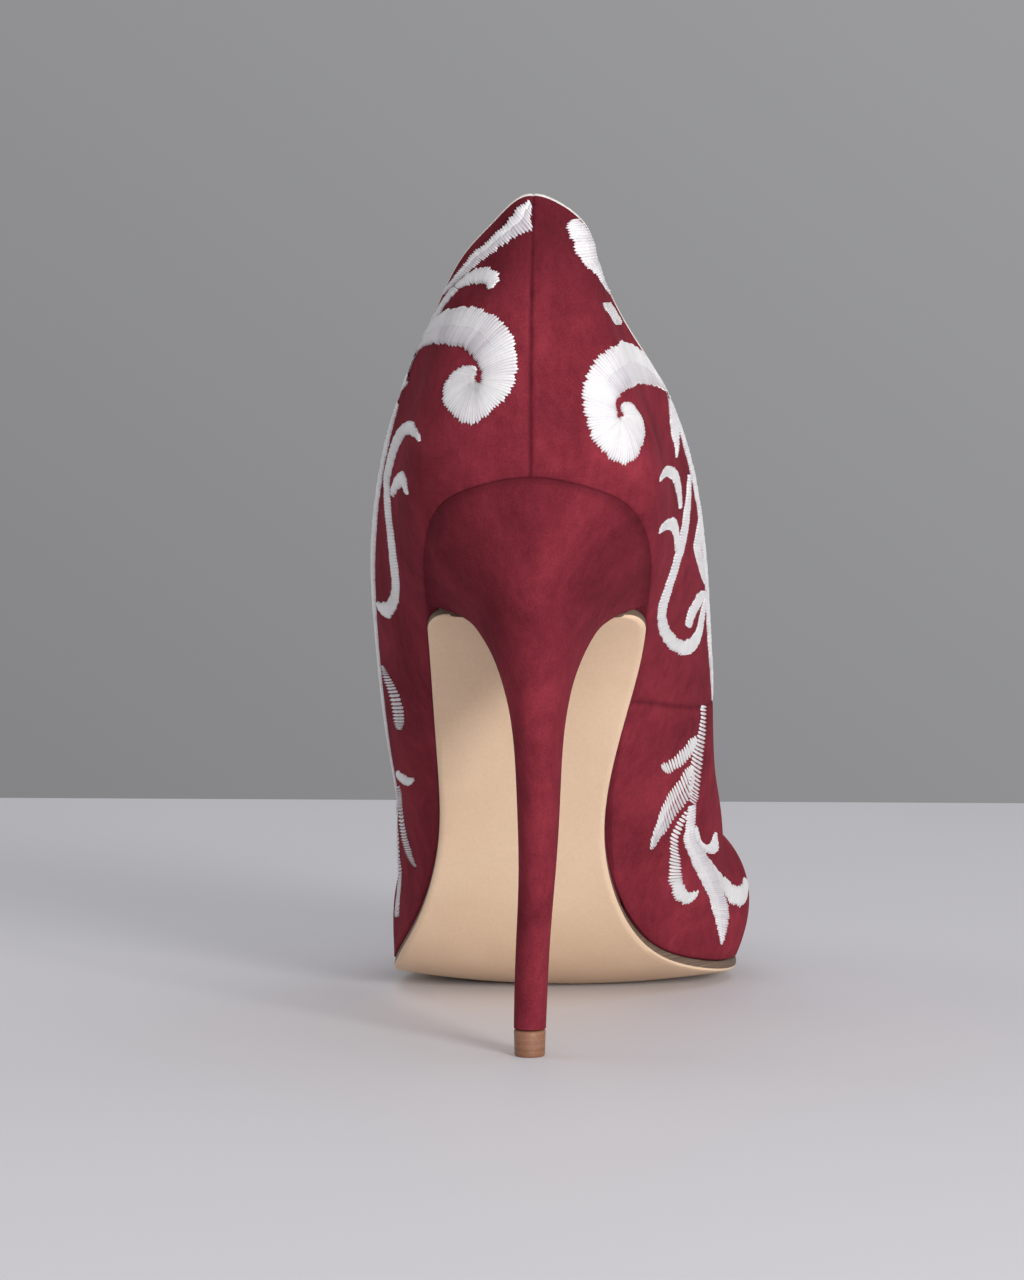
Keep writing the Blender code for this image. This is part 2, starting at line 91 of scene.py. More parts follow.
# The upper's top edge, and forward of the throat its ridge, with the same rows
# Columns: share of the length, height over the feather line as a share of the counter's
# height behind the throat and of the throat's from there on, lateral and medial reach
TOP = (
    ("back", 0.013, 1.000, 0.017, 0.017),
    ("counter", 0.032, 0.955, -0.084, 0.142),
    ("seat back", 0.071, 0.900, -0.181, 0.180),
    ("seat", 0.132, 0.851, -0.268, 0.245),
    ("breast", 0.207, 0.798, -0.362, 0.352),
    ("shank back", 0.288, 0.723, -0.436, 0.422),
    ("shank", 0.369, 0.736, -0.476, 0.452),
    ("waist", 0.445, 0.776, -0.482, 0.464),
    ("waist front", 0.514, 0.791, -0.472, 0.470),
    ("behind ball", 0.571, 0.774, -0.430, 0.448),
    ("vamp side", 0.629, 0.693, -0.300, 0.362),
    ("throat", 0.670, 1.000, 0.045, 0.045),
    ("medial ball", 0.715, 0.929, 0.051, 0.051),
    ("toe back", 0.768, 0.813, 0.056, 0.056),
    ("toe", 0.828, 0.656, 0.060, 0.060),
    ("toe front", 0.886, 0.487, 0.063, 0.063),
    ("point back", 0.930, 0.338, 0.063, 0.063),
    ("point", 0.952, 0.251, 0.063, 0.063),
    ("tip", 0.961, 0.215, 0.063, 0.063),
)
THROAT_ROW = [row[0] for row in TOP].index("throat")
BALL_ROW = [row[0] for row in FEATHER].index("medial ball")

# How each rib of the upper leaves the feather and reaches the top, with the same rows
# Columns: turn of the outward side from square, then lateral flare and lean and medial
# flare and lean in degrees, then the low and high handles as shares of the rib's chord
RIB = (
    ("back", -90, 14, 14, 14, 14, 0.36, 0.36),
    ("counter", -58, 18, 14, 18, 14, 0.36, 0.36),
    ("seat back", -27, 24, 12, 22, 12, 0.36, 0.36),
    ("seat", -8, 28, 8, 24, 8, 0.37, 0.36),
    ("breast", 0, 32, 2, 30, 2, 0.38, 0.36),
    ("shank back", 0, 34, -2, 36, 0, 0.39, 0.36),
    ("shank", 0, 32, -6, 44, -3, 0.40, 0.36),
    ("waist", 0, 28, -6, 48, -3, 0.41, 0.36),
    ("waist front", 0, 11, -4, 48, 2, 0.41, 0.35),
    ("behind ball", 0, -4, 10, 42, 22, 0.41, 0.34),
    ("vamp side", 0, -4, 62, 34, 60, 0.43, 0.35),
    ("throat", 0, 10, 90, 28, 90, 0.49, 0.50),
    ("medial ball", 2, 13, 90, 21, 90, 0.47, 0.50),
    ("toe back", 6, 14, 90, 16, 90, 0.43, 0.48),
    ("toe", 13, 14, 90, 15, 90, 0.40, 0.46),
    ("toe front", 26, 14, 90, 15, 90, 0.38, 0.44),
    ("point back", 47, 14, 90, 15, 90, 0.37, 0.42),
    ("point", 70, 15, 90, 15, 90, 0.36, 0.42),
    ("tip", 90, 15, 90, 15, 90, 0.36, 0.42),
)

# The heel from the seat down: a row per section, its sizes between the foot's and the seat's
# Columns: height at its back and at its front, back edge, front edge and half width as shares
# of the way from the foot to the seat, middle across as a share of the ball width, and its
# breast as a share of the half width
HEEL = (
    ("lip", 0.971, 0.983, 1.000, 0.930, 0.861, 0.013, 0.74),
    ("flare", 0.932, 0.950, 0.962, 0.820, 0.672, 0.013, 0.63),
    ("under flare", 0.884, 0.910, 0.902, 0.688, 0.502, 0.014, 0.60),
    ("bowl", 0.823, 0.860, 0.820, 0.512, 0.356, 0.017, 0.59),
    ("neck", 0.744, 0.799, 0.684, 0.366, 0.234, 0.019, 0.58),
    ("upper stem", 0.652, 0.725, 0.526, 0.254, 0.142, 0.022, 0.58),
    ("stem", 0.548, 0.642, 0.383, 0.171, 0.085, 0.024, 0.58),
    ("middle stem", 0.430, 0.530, 0.256, 0.102, 0.055, 0.024, 0.58),
    ("low stem", 0.290, 0.374, 0.135, 0.054, 0.027, 0.020, 0.60),
    ("ankle", 0.141, 0.192, 0.053, 0.020, 0.010, 0.009, 0.62),
    ("foot", 0.000, 0.000, 0.000, 0.000, 0.000, 0.001, 0.64),
)


def column(table, index):
    """One column of a table as an array."""
    return np.array([row[index] for row in table], float)


def natural_spline(values):
    """A cubic curve through values at 0, 1, 2 and so on, straight at its ends."""
    values = np.asarray(values, float)
    count = len(values)
    matrix = np.eye(count)
    right = np.zeros(count)
    for i in range(1, count - 1):
        matrix[i, i - 1 : i + 2] = (1.0, 4.0, 1.0)
        right[i] = 6.0 * (values[i - 1] - 2.0 * values[i] + values[i + 1])
    bend = np.linalg.solve(matrix, right)
    return values, bend


def ring_spline(values):
    """A closed cubic curve through values at 0, 1, 2 and so on, the last one before the first."""
    values = np.asarray(values, float)
    count = len(values)
    matrix = np.zeros((count, count))
    right = np.zeros(count)
    for i in range(count):
        before, after = (i - 1) % count, (i + 1) % count
        matrix[i, before] += 1.0
        matrix[i, i] += 4.0
        matrix[i, after] += 1.0
        right[i] = 6.0 * (values[before] - 2.0 * values[i] + values[after])
    bend = np.linalg.solve(matrix, right)
    return np.append(values, values[0]), np.append(bend, bend[0])


def along(spline, place):
    """The spline's value at a place, counted in rows."""
    values, bend = spline
    place = np.asarray(place, float)
    low = np.clip(np.floor(place).astype(int), 0, len(values) - 2)
    b = place - low
    a = 1.0 - b
    line = a * values[low] + b * values[low + 1]
    return line + ((a**3 - a) * bend[low] + (b**3 - b) * bend[low + 1]) / 6.0


def both_sides(lateral, medial):
    """The rows of the lateral side from the toe to the back, then the medial side to the toe."""
    return np.concatenate([lateral[::-1], medial[1:]])


LAST_ROW = len(FEATHER) - 1
BELLIES = column(FEATHER, 5) * BALL_WIDTH
TREAD = SOLE_THICKNESS + GAP + BELLIES.max() - TREAD_PRESS


def feather_heights():
    """The height of the feather line in each row: the tread lies flat on the floor at the ball."""
    rise = column(FEATHER, 4)
    ahead = np.arange(len(rise)) > BALL_ROW
    return TREAD + rise * np.where(ahead, TOE_SPRING, SEAT_HEIGHT - TREAD)


def top_heights():
    """The height of the top edge and the ridge in each row."""
    share = column(TOP, 2)
    ahead = np.arange(len(share)) >= THROAT_ROW
    return feather_heights() + share * np.where(ahead, THROAT_HEIGHT, COUNTER_HEIGHT)


def feather_splines():
    reach = both_sides(column(FEATHER, 2), column(FEATHER, 3)) * BALL_WIDTH
    share = both_sides(column(FEATHER, 1), column(FEATHER, 1)) * LENGTH + BACK_Y
    height = both_sides(feather_heights(), feather_heights())
    return [ring_spline(values[:-1]) for values in (reach, share, height)]


def top_splines():
    quarter = slice(0, THROAT_ROW + 1)
    reach = both_sides(column(TOP, 3)[quarter], column(TOP, 4)[quarter]) * BALL_WIDTH
    share = both_sides(column(TOP, 1)[quarter], column(TOP, 1)[quarter]) * LENGTH + BACK_Y
    height = both_sides(top_heights()[quarter], top_heights()[quarter])
    edge = [ring_spline(values[:-1]) for values in (reach, share, height)]
    ridge = [
        natural_spline(column(TOP, 3)[THROAT_ROW:] * BALL_WIDTH),
        natural_spline(column(TOP, 1)[THROAT_ROW:] * LENGTH + BACK_Y),
        natural_spline(top_heights()[THROAT_ROW:]),
    ]
    return edge, ridge


FEATHER_CURVE = feather_splines()
TOP_EDGE, RIDGE = top_splines()
FLARE = natural_spline(both_sides(column(RIB, 2), column(RIB, 4)))
LEAN = natural_spline(both_sides(column(RIB, 3), column(RIB, 5)))
TURN = natural_spline(column(RIB, 1))
LOW = natural_spline(column(RIB, 6))
HIGH = natural_spline(column(RIB, 7))
BELLY = natural_spline(BELLIES)


def feather_point(place):
    """The feather line at a place from -LAST_ROW, the toe by the lateral side, through 0, the back."""
    ring = (place + LAST_ROW) % (2 * LAST_ROW)
    return np.array([along(spline, ring) for spline in FEATHER_CURVE])


def top_point(place):
    """The top of the rib at this place, and the direction in which the ridge runs forward there."""
    row = abs(place)
    if row <= THROAT_ROW:
        ring = (place + THROAT_ROW) % (2 * THROAT_ROW)
        return np.array([along(spline, ring) for spline in TOP_EDGE]), np.array([0.0, 1.0, 0.0])
    at = row - THROAT_ROW
    step = 0.01
    point = np.array([along(spline, at) for spline in RIDGE])
    ahead = np.array([along(spline, min(at + step, LAST_ROW - THROAT_ROW)) for spline in RIDGE])
    behind = np.array([along(spline, at - step) for spline in RIDGE])
    forward = ahead - behind
    return point, forward / np.linalg.norm(forward)


def unit(vector):
    return vector / np.linalg.norm(vector)


def rib_handles(place):
    """The four points that shape the rib at this place."""
    side = 1.0 if place >= 0 else -1.0
    row = abs(place)
    foot = feather_point(place)
    head, forward = top_point(place)
    turn = math.radians(float(along(TURN, row)))
    outward = np.array([side * math.cos(turn), math.sin(turn), 0.0])
    chord = head - foot
    length = np.linalg.norm(chord)
    rise = chord - outward * chord.dot(outward)
    if row > THROAT_ROW:
        rise = np.array([0.0, rise[1], rise[2]])
    rise = unit(rise)
    flare = math.radians(float(along(FLARE, place + LAST_ROW)))
    lean = math.radians(min(90.0, float(along(LEAN, place + LAST_ROW))))
    if row >= THROAT_ROW:
        lean = math.pi / 2
    leave = math.cos(flare) * rise + math.sin(flare) * outward
    back = outward
    if row > THROAT_ROW:
        back = unit(np.array([side * math.cos(turn), 0.0, 0.0]) + math.sin(turn) * forward)
    arrive = math.cos(lean) * rise - math.sin(lean) * back
    low = float(along(LOW, row)) * length
    high = float(along(HIGH, row)) * length
    return foot, foot + low * leave, head - high * arrive, head


FINE = np.linspace(0.0, LAST_ROW, 901)
LATERAL_LINE = np.array([feather_point(-place) for place in FINE])
MEDIAL_LINE = np.array([feather_point(place) for place in FINE])


def bottom_height(x, y):
    """The height of the last's bottom over a point of the plan."""
    place = np.interp(y, LATERAL_LINE[:, 1], FINE)
    lateral = np.array([np.interp(place, FINE, LATERAL_LINE[:, k]) for k in (0, 2)])
    medial = np.array([np.interp(place, FINE, MEDIAL_LINE[:, k]) for k in (0, 2)])
    half = max(0.5 * (medial[0] - lateral[0]), 0.5)
    across = (x - 0.5 * (lateral[0] + medial[0])) / half
    across = min(max(across, -1.0), 1.0)
    belly = max(float(along(BELLY, place)), 0.0) * min(1.0, half / 6.0)
    return 0.5 * (lateral[1] + medial[1]) - belly * (1.0 - across**2)


def bottom_normal(x, y):
    """The upward direction square to the last's bottom there."""
    step = 0.8
    slope_x = (bottom_height(x + step, y) - bottom_height(x - step, y)) / (2 * step)
    low, high = max(y - step, BACK_Y), min(y + step, BACK_Y + LENGTH)
    slope_y = (bottom_height(x, high) - bottom_height(x, low)) / (high - low)
    return unit(np.array([-slope_x, -slope_y, 1.0]))


def outline_point(place, inset):
    """A point of the plan inside the feather line by the inset, at a place on either side."""
    step = 0.02
    ahead, behind = feather_point(place + step), feather_point(place - step)
    run = unit((ahead - behind)[:2])
    inward = np.array([-run[1], run[0]])
    return feather_point(place)[:2] + inset * inward


def place_at(y):
    """The place whose feather stands at this distance along the shoe."""
    return float(np.interp(y, LATERAL_LINE[:, 1], FINE))


def corner_width(distance, radius, half):
    """The share of the width that a rounded corner leaves, this far from the square end."""
    if distance >= radius:
        return 1.0
    near = radius - max(distance, 0.0)
    lost = radius - math.sqrt(max(radius**2 - near**2, 0.0))
    return 1.0 - lost / half


def seat_outline(side_steps, front_steps):
    """The seat's edge from the back along the lateral side, across the breast and back by the medial side."""
    places = place_at(BREAST_Y) * np.linspace(0.0, 1.0, side_steps + 1)
    lateral = [outline_point(-place, SOLE_INSET) for place in places]
    medial = [outline_point(place, SOLE_INSET) for place in places]
    front = [
        lateral[-1] + (medial[-1] - lateral[-1]) * share
        for share in np.linspace(0.0, 1.0, front_steps + 1)[1:-1]
    ]
    back = 0.5 * (lateral[0] + medial[0])
    plan = [back] + lateral[1:] + front + medial[:0:-1]
    loop = []
    for x, y in plan:
        point = np.array([x, y, bottom_height(x, y)])
        loop.append(point - GAP * bottom_normal(x, y))
    return loop


def heel_section(size, side_steps, front_steps):
    """One section of the heel, from its back along the lateral side, across the breast and back."""
    back_z, front_z, back_y, front_y, half, middle, breast = size
    widest = 0.56
    depths = [0.5 - 0.5 * math.cos(math.pi * share) for share in np.linspace(0.0, 1.0, side_steps + 1)]

    def place(depth, reach):
        y = back_y + (front_y - back_y) * depth
        z = back_z + (front_z - back_z) * depth
        return np.array([middle + reach, y, z])

    def reach(depth):
        if depth < widest:
            return half * math.sqrt(max(0.0, 1.0 - ((widest - depth) / widest) ** 2))
        rest = (depth - widest) / (1.0 - widest)
        return half * (breast + (1.0 - breast) * math.sqrt(max(0.0, 1.0 - rest**2)))

    fronts = half * breast * np.linspace(-1.0, 1.0, front_steps + 1)[1:-1]
    loop = [place(0.0, 0.0)]
    loop += [place(depth, -reach(depth)) for depth in depths[1:]]
    loop += [place(1.0, front) for front in fronts]
    loop += [place(depth, reach(depth)) for depth in depths[:0:-1]]
    return loop


def heel_size(row, seat):
    """The sizes of a heel section in millimetres, from its row and the seat's outline."""
    _, back_z, front_z, back_y, front_y, half, middle, breast = row
    foot_z = TIP_HEIGHT + GAP
    seat = np.array(seat)
    seat_half = 0.5 * (seat[:, 0].max() - seat[:, 0].min())
    return (
        foot_z + back_z * (seat[:, 2].max() - foot_z),
        foot_z + front_z * (seat[:, 2].min() - foot_z),
        -0.5 * TIP_DEPTH + back_y * (seat[:, 1].min() + 0.5 * TIP_DEPTH),
        0.5 * TIP_DEPTH + front_y * (seat[:, 1].max() - 0.5 * TIP_DEPTH),
        0.5 * TIP_WIDTH + half * (seat_half - 0.5 * TIP_WIDTH),
        middle * BALL_WIDTH,
        breast,
    )


# Steps of the fine meshes
QUARTER_RIBS = 100
VAMP_RIBS = 60
SHELL_ROWS = 46
RIM_STEPS = 12
SOLE_ROWS = 110
SOLE_COLUMNS = 18
SOCK_ROWS = 90
HEEL_ROWS = 84
HEEL_SIDE = 34
HEEL_FRONT = 14
EDGE_STEPS = 6

# Fine fittings in millimetres
SEAM_WIDTH = 0.40
SEAM_DEPTH = 0.38
SIDE_SEAM = 6.9
SEAM_RIBS = (0.02, 0.045, 0.075, 0.11, 0.16, 0.23)
CORNER_SHARES = (0.03, 0.1, 0.2, 0.32, 0.46, 0.62, 0.8)
TUCK = (0.35, 1.1, 2.4)
TUCK_DROP = 0.12
TUCK_SHADE = 0.5
LINING_TURN = 2.2
HEEL_SEAM = 0.3
BEAD_REACH = 0.10
BEAD_RISE = 0.52
CHART_STEPS = 5
EDGE_ROUND = 0.45
SOLE_UNDERCUT = 1.3
THREAD = 0.74
STITCH_HEIGHT = 0.52
SEAM_LENGTH = 56.0
BACK_RIB = 12.6
SIDE_RIB = 10.4
PILLOW = 0.22
PUCKER = 0.10
TIE_DEPTH = 0.35
TIE_SHARE = 0.655
SLOW_WAVE = 0.10
QUICK_WAVE = 0.04
COVER_WAVE = 0.05
# Heights in millimetres where painted shade on the heel's top begins and how far it rises to full strength
PAINTED_SHADE_FROM = 72.0
PAINTED_SHADE_RISE = 26.0

# Turns of the topline's bead in degrees, from inside to outside
BEAD_TURNS = (-32.0, 212.0)

# How a pixel is found on the upper: how many near points are tried, how near one counts in pixels,
# and how far apart points of one surface lie, in millimetres of depth and in ribs
NEIGHBOURS = 24
NEAR_PIXELS = 0.5
SAME_DEPTH = 5.0
SAME_PLACE = 0.4

# Points across a stitch up to its middle, as shares of its width, and points along each chart row
STITCH_SPOTS = (0.0, 0.03, 0.10, 0.20, 0.32, 0.43, 0.485, 0.5)
SEWN_STEPS = 24

# The camera behind the shoe, in millimetres and degrees
CAMERA = (48.7, -1033.4, 161.3)
CAMERA_TURN = 2.896
CAMERA_DIP = 4.157
LENS = 142.04
PICTURE = (1024, 1280)
FLOOR_BACK = 505.0
FLOOR_REACH = 4000

GRID = np.linspace(-LAST_ROW, LAST_ROW, 1801)
HANDLES = np.array([rib_handles(place) for place in GRID]).reshape(len(GRID), 12)
CHANCE = np.random.default_rng(7)


def on_upper(place, share):
    """Points of the upper's outside in millimetres, at places round the shoe and shares of the height."""
    place, share = np.broadcast_arrays(np.asarray(place, float), np.asarray(share, float))
    step = (np.clip(place, -LAST_ROW, LAST_ROW) + LAST_ROW) / (GRID[1] - GRID[0])
    low = np.clip(np.floor(step).astype(int), 0, len(GRID) - 2)
    part = (step - low)[..., None]
    handles = (1.0 - part) * HANDLES[low] + part * HANDLES[low + 1]
    a, b, c, d = np.moveaxis(handles.reshape(place.shape + (4, 3)), -2, 0)
    share = share[..., None]
    rest = 1.0 - share
    return rest**3 * a + 3 * rest**2 * share * b + 3 * rest * share**2 * c + share**3 * d


def units(vectors):
    return vectors / np.maximum(np.linalg.norm(vectors, axis=-1, keepdims=True), 1e-9)


def upper_normals(place, share):
    """Outward directions square to the upper's outside."""
    step = 0.012
    round_it = on_upper(place + step, share) - on_upper(place - step, share)
    up_it = on_upper(place, np.minimum(share + step, 1.0)) - on_upper(place, np.maximum(share - step, 0.0))
    return units(np.cross(round_it, up_it))


def side_seam_place(share):
    """Where the medial side seam runs: it leans forward on its way up."""
    return 5.5 + 1.95 * share + 0.65 * share**2


def quads(rows, columns, closed=False):
    """Faces of a net of points counted row by row, closed or not from its last row to its first."""
    i = np.arange(rows if closed else rows - 1)[:, None] * columns
    after = (i + columns) % (rows * columns)
    j = np.arange(columns - 1)[None, :]
    return np.stack([i + j, after + j, after + j + 1, i + j + 1], axis=-1).reshape(-1, 4)


def add_piece(name, points, faces, materials, kinds=None, values=None):
    """A smooth mesh from points in millimetres, with a material for each face and values for each point."""
    mesh = bpy.data.meshes.new(name)
    faces = [tuple(dict.fromkeys(int(i) for i in face)) for face in faces]
    keep = [len(face) > 2 for face in faces]
    kept = [face for face, good in zip(faces, keep) if good]
    mesh.from_pydata((0.001 * np.asarray(points)).tolist(), [], kept)
    for made in materials:
        mesh.materials.append(made)
    if kinds is not None:
        kinds = np.asarray(kinds, np.int32)[np.array(keep)]
        mesh.polygons.foreach_set("material_index", kinds)
    for label, numbers in (values or {}).items():
        attribute = mesh.attributes.new(label, "FLOAT", "POINT")
        attribute.data.foreach_set("value", np.asarray(numbers, np.float32))
    mesh.polygons.foreach_set("use_smooth", np.ones(len(mesh.polygons), bool))
    mesh.validate()
    item = bpy.data.objects.new(name, mesh)
    bpy.context.scene.collection.objects.link(item)
    return item


# Materials

def node_material(name, sheen=0.0, sheen_roughness=0.5, sheen_tint=(1, 1, 1), coat=0.0, specular=0.5):
    made = bpy.data.materials.new(name)
    made.use_nodes = True
    tree = made.node_tree
    shader = tree.nodes["Principled BSDF"]
    shader.inputs["Sheen Weight"].default_value = sheen
    shader.inputs["Sheen Roughness"].default_value = sheen_roughness
    shader.inputs["Sheen Tint"].default_value = (*sheen_tint, 1)
    shader.inputs["Coat Weight"].default_value = coat
    shader.inputs["Specular IOR Level"].default_value = specular
    return made, tree, shader


def noise(tree, scale, detail=3.0, roughness=0.55, stretch=(1, 1, 1), offset=0.0, distortion=0.0):
    """A noise over the object's own place, its scale counted per metre."""
    place = tree.nodes.new("ShaderNodeTexCoord")
    fit = tree.nodes.new("ShaderNodeMapping")
    fit.inputs["Scale"].default_value = stretch
    fit.inputs["Location"].default_value = (offset, offset, offset)
    made = tree.nodes.new("ShaderNodeTexNoise")
    made.inputs["Scale"].default_value = scale
    made.inputs["Detail"].default_value = detail
    made.inputs["Roughness"].default_value = roughness
    made.inputs["Distortion"].default_value = distortion
    tree.links.new(place.outputs["Object"], fit.inputs["Vector"])
    tree.links.new(fit.outputs["Vector"], made.inputs["Vector"])
    return made.outputs["Fac"]


def ramp(tree, factor, stops):
    """Colours by a factor: each stop is a position and a colour."""
    made = tree.nodes.new("ShaderNodeValToRGB")
    made.color_ramp.elements[0].position = stops[0][0]
    made.color_ramp.elements[0].color = (*stops[0][1], 1)
    made.color_ramp.elements[1].position = stops[-1][0]
    made.color_ramp.elements[1].color = (*stops[-1][1], 1)
    for position, color in stops[1:-1]:
        made.color_ramp.elements.new(position).color = (*color, 1)
    tree.links.new(factor, made.inputs["Fac"])
    return made.outputs["Color"]


def mix(tree, factor, first, second, kind="MIX"):
    made = tree.nodes.new("ShaderNodeMix")
    made.data_type = "RGBA"
    made.blend_type = kind
    for socket, value in ((made.inputs[0], factor), (made.inputs[6], first), (made.inputs[7], second)):
        if isinstance(value, bpy.types.NodeSocket):
            tree.links.new(value, socket)
        elif isinstance(value, tuple):
            socket.default_value = (*value, 1)
        else:
            socket.default_value = value
    return made.outputs[2]


def maths(tree, kind, first, second=0.0):
    made = tree.nodes.new("ShaderNodeMath")
    made.operation = kind
    for socket, value in ((made.inputs[0], first), (made.inputs[1], second)):
        if isinstance(value, bpy.types.NodeSocket):
            tree.links.new(value, socket)
        else:
            socket.default_value = value
    return made.outputs[0]


def bump(tree, shader, layers):
    """Chains bumps: each layer is a height, its strength and its depth in metres."""
    below = None
    for height, strength, distance in layers:
        made = tree.nodes.new("ShaderNodeBump")
        made.inputs["Strength"].default_value = strength
        made.inputs["Distance"].default_value = distance
        tree.links.new(height, made.inputs["Height"])
        if below is not None:
            tree.links.new(below, made.inputs["Normal"])
        below = made.outputs["Normal"]
    tree.links.new(below, shader.inputs["Normal"])


def attribute(tree, name):
    made = tree.nodes.new("ShaderNodeAttribute")
    made.attribute_name = name
    return made.outputs["Fac"]


def suede_material():
    """Burgundy suede: brushed nap in lighter and darker patches, a fine fibre and a soft bloom."""
    made, tree, shader = node_material("suede", 0.05, 0.5, (0.80, 0.22, 0.28), specular=0.03)
    patches = noise(tree, 46.0, 4.0, 0.6, distortion=0.6)
    nap = noise(tree, 420.0, 4.0, 0.65, stretch=(1, 1, 0.6))
    fibre = noise(tree, 2600.0, 3.0, 0.7)
    dyes = ((0.28, (0.118, 0.0140, 0.0225)), (0.50, (0.180, 0.0215, 0.0335)), (0.72, (0.245, 0.0300, 0.0455)))
    base = ramp(tree, patches, dyes)
    worn = ramp(tree, nap, ((0.30, (0.86, 0.84, 0.84)), (0.70, (1.12, 1.13, 1.13))))
    color = mix(tree, 1.0, base, worn, "MULTIPLY")
    grain = ramp(tree, fibre, ((0.25, (0.72, 0.70, 0.70)), (0.75, (1.25, 1.28, 1.28))))
    color = mix(tree, 0.8, color, grain, "MULTIPLY")
    # Darkened by the "seam" point attribute, which holds the dark seam lines and also painted shade: the tuck
    # under the feather, the top of the back, the upper's lateral side, and the heel's top, lateral side and
    # ring against the seat.
    color = mix(tree, attribute(tree, "seam"), color, (0.045, 0.006, 0.010))
    tree.links.new(color, shader.inputs["Base Color"])
    rough = ramp(tree, nap, ((0.2, (0.86, 0.86, 0.86)), (0.8, (0.97, 0.97, 0.97))))
    tree.links.new(rough, shader.inputs["Roughness"])
    bump(tree, shader, ((patches, 0.35, 0.0009), (nap, 0.5, 0.00022), (fibre, 0.6, 0.00008)))
    return made


def lining_material():
    """Pale leather for the lining and the sock, with a fine grain."""
    made, tree, shader = node_material("pale_lining", specular=0.35)
    cloud = noise(tree, 60.0, 3.0)
    grain = noise(tree, 1500.0, 4.0, 0.6)
    base = ramp(tree, cloud, ((0.3, (0.70, 0.58, 0.48)), (0.7, (0.80, 0.69, 0.60))))
    worn = ramp(tree, grain, ((0.35, (0.82, 0.80, 0.78)), (0.65, (1.05, 1.05, 1.05))))
    color = mix(tree, 0.35, base, worn, "MULTIPLY")
    tree.links.new(color, shader.inputs["Base Color"])
    rough = ramp(tree, grain, ((0.3, (0.46, 0.46, 0.46)), (0.7, (0.62, 0.62, 0.62))))
    tree.links.new(rough, shader.inputs["Roughness"])
    bump(tree, shader, ((cloud, 0.2, 0.0006), (grain, 0.35, 0.00008)))
    return made


def edge_material():
    """The pale cut edge of the lining along the topline."""
    made, tree, shader = node_material("pale_edge", specular=0.3)
    grain = noise(tree, 1800.0, 3.0)
    color = ramp(tree, grain, ((0.3, (0.54, 0.50, 0.48)), (0.7, (0.68, 0.65, 0.63))))
    tree.links.new(color, shader.inputs["Base Color"])
    shader.inputs["Roughness"].default_value = 0.6
    bump(tree, shader, ((grain, 0.4, 0.00008),))
    return made


def sole_material():
    """Bare tan leather: a fine grain, faint cloudy dye and a smooth satin finish."""
    made, tree, shader = node_material("tan_leather", coat=0.06, specular=0.32)
    shader.inputs["Coat Roughness"].default_value = 0.45
    cloud = noise(tree, 22.0, 4.0, 0.6, distortion=0.4)
    grain = noise(tree, 1300.0, 5.0, 0.6)
    pores = noise(tree, 3800.0, 2.0, 0.5)
    dyes = ((0.28, (0.670, 0.475, 0.322)), (0.5, (0.722, 0.525, 0.365)), (0.72, (0.765, 0.572, 0.408)))
    base = ramp(tree, cloud, dyes)
    worn = ramp(tree, grain, ((0.3, (0.88, 0.86, 0.84)), (0.7, (1.06, 1.06, 1.06))))
    color = mix(tree, 0.4, base, worn, "MULTIPLY")
    tree.links.new(color, shader.inputs["Base Color"])
    rough = ramp(tree, grain, ((0.3, (0.50, 0.50, 0.50)), (0.7, (0.66, 0.66, 0.66))))
    tree.links.new(rough, shader.inputs["Roughness"])
    bump(tree, shader, ((cloud, 0.15, 0.0008), (grain, 0.3, 0.00012), (pores, 0.25, 0.00005)))
    return made


def sole_edge_material():
    """The sole's cut edge: dark brown with the fibre of the leather in faint layers."""
    made, tree, shader = node_material("dark_sole_edge", specular=0.35)
    layers = noise(tree, 260.0, 3.0, 0.6, stretch=(0.25, 0.25, 9.0))
    speck = noise(tree, 1500.0, 3.0)
    dyes = ((0.3, (0.105, 0.070, 0.050)), (0.6, (0.165, 0.112, 0.078)), (0.8, (0.270, 0.195, 0.138)))
    base = ramp(tree, layers, dyes)
    specked = ramp(tree, speck, ((0.3, (0.75, 0.75, 0.75)), (0.7, (1.15, 1.15, 1.15))))
    color = mix(tree, 0.4, base, specked, "MULTIPLY")
    tree.links.new(color, shader.inputs["Base Color"])
    shader.inputs["Roughness"].default_value = 0.55
    bump(tree, shader, ((layers, 0.4, 0.00015), (speck, 0.3, 0.0001)))
    return made


def tip_material():
    """The top piece: brown leather and rubber in layers, a little scuffed."""
    made, tree, shader = node_material("brown_top_piece", specular=0.4)
    layers = noise(tree, 160.0, 3.0, 0.5, stretch=(0.2, 0.2, 6.0))
    speck = noise(tree, 1700.0, 4.0, 0.6)
    dyes = ((0.30, (0.180, 0.078, 0.042)), (0.55, (0.255, 0.118, 0.067)), (0.8, (0.340, 0.172, 0.104)))
    base = ramp(tree, layers, dyes)
    specked = ramp(tree, speck, ((0.3, (0.78, 0.76, 0.75)), (0.7, (1.18, 1.18, 1.18))))
    color = mix(tree, 0.6, base, specked, "MULTIPLY")
    tree.links.new(color, shader.inputs["Base Color"])
    shader.inputs["Roughness"].default_value = 0.5
    bump(tree, shader, ((layers, 0.3, 0.00012), (speck, 0.35, 0.00008)))
    return made


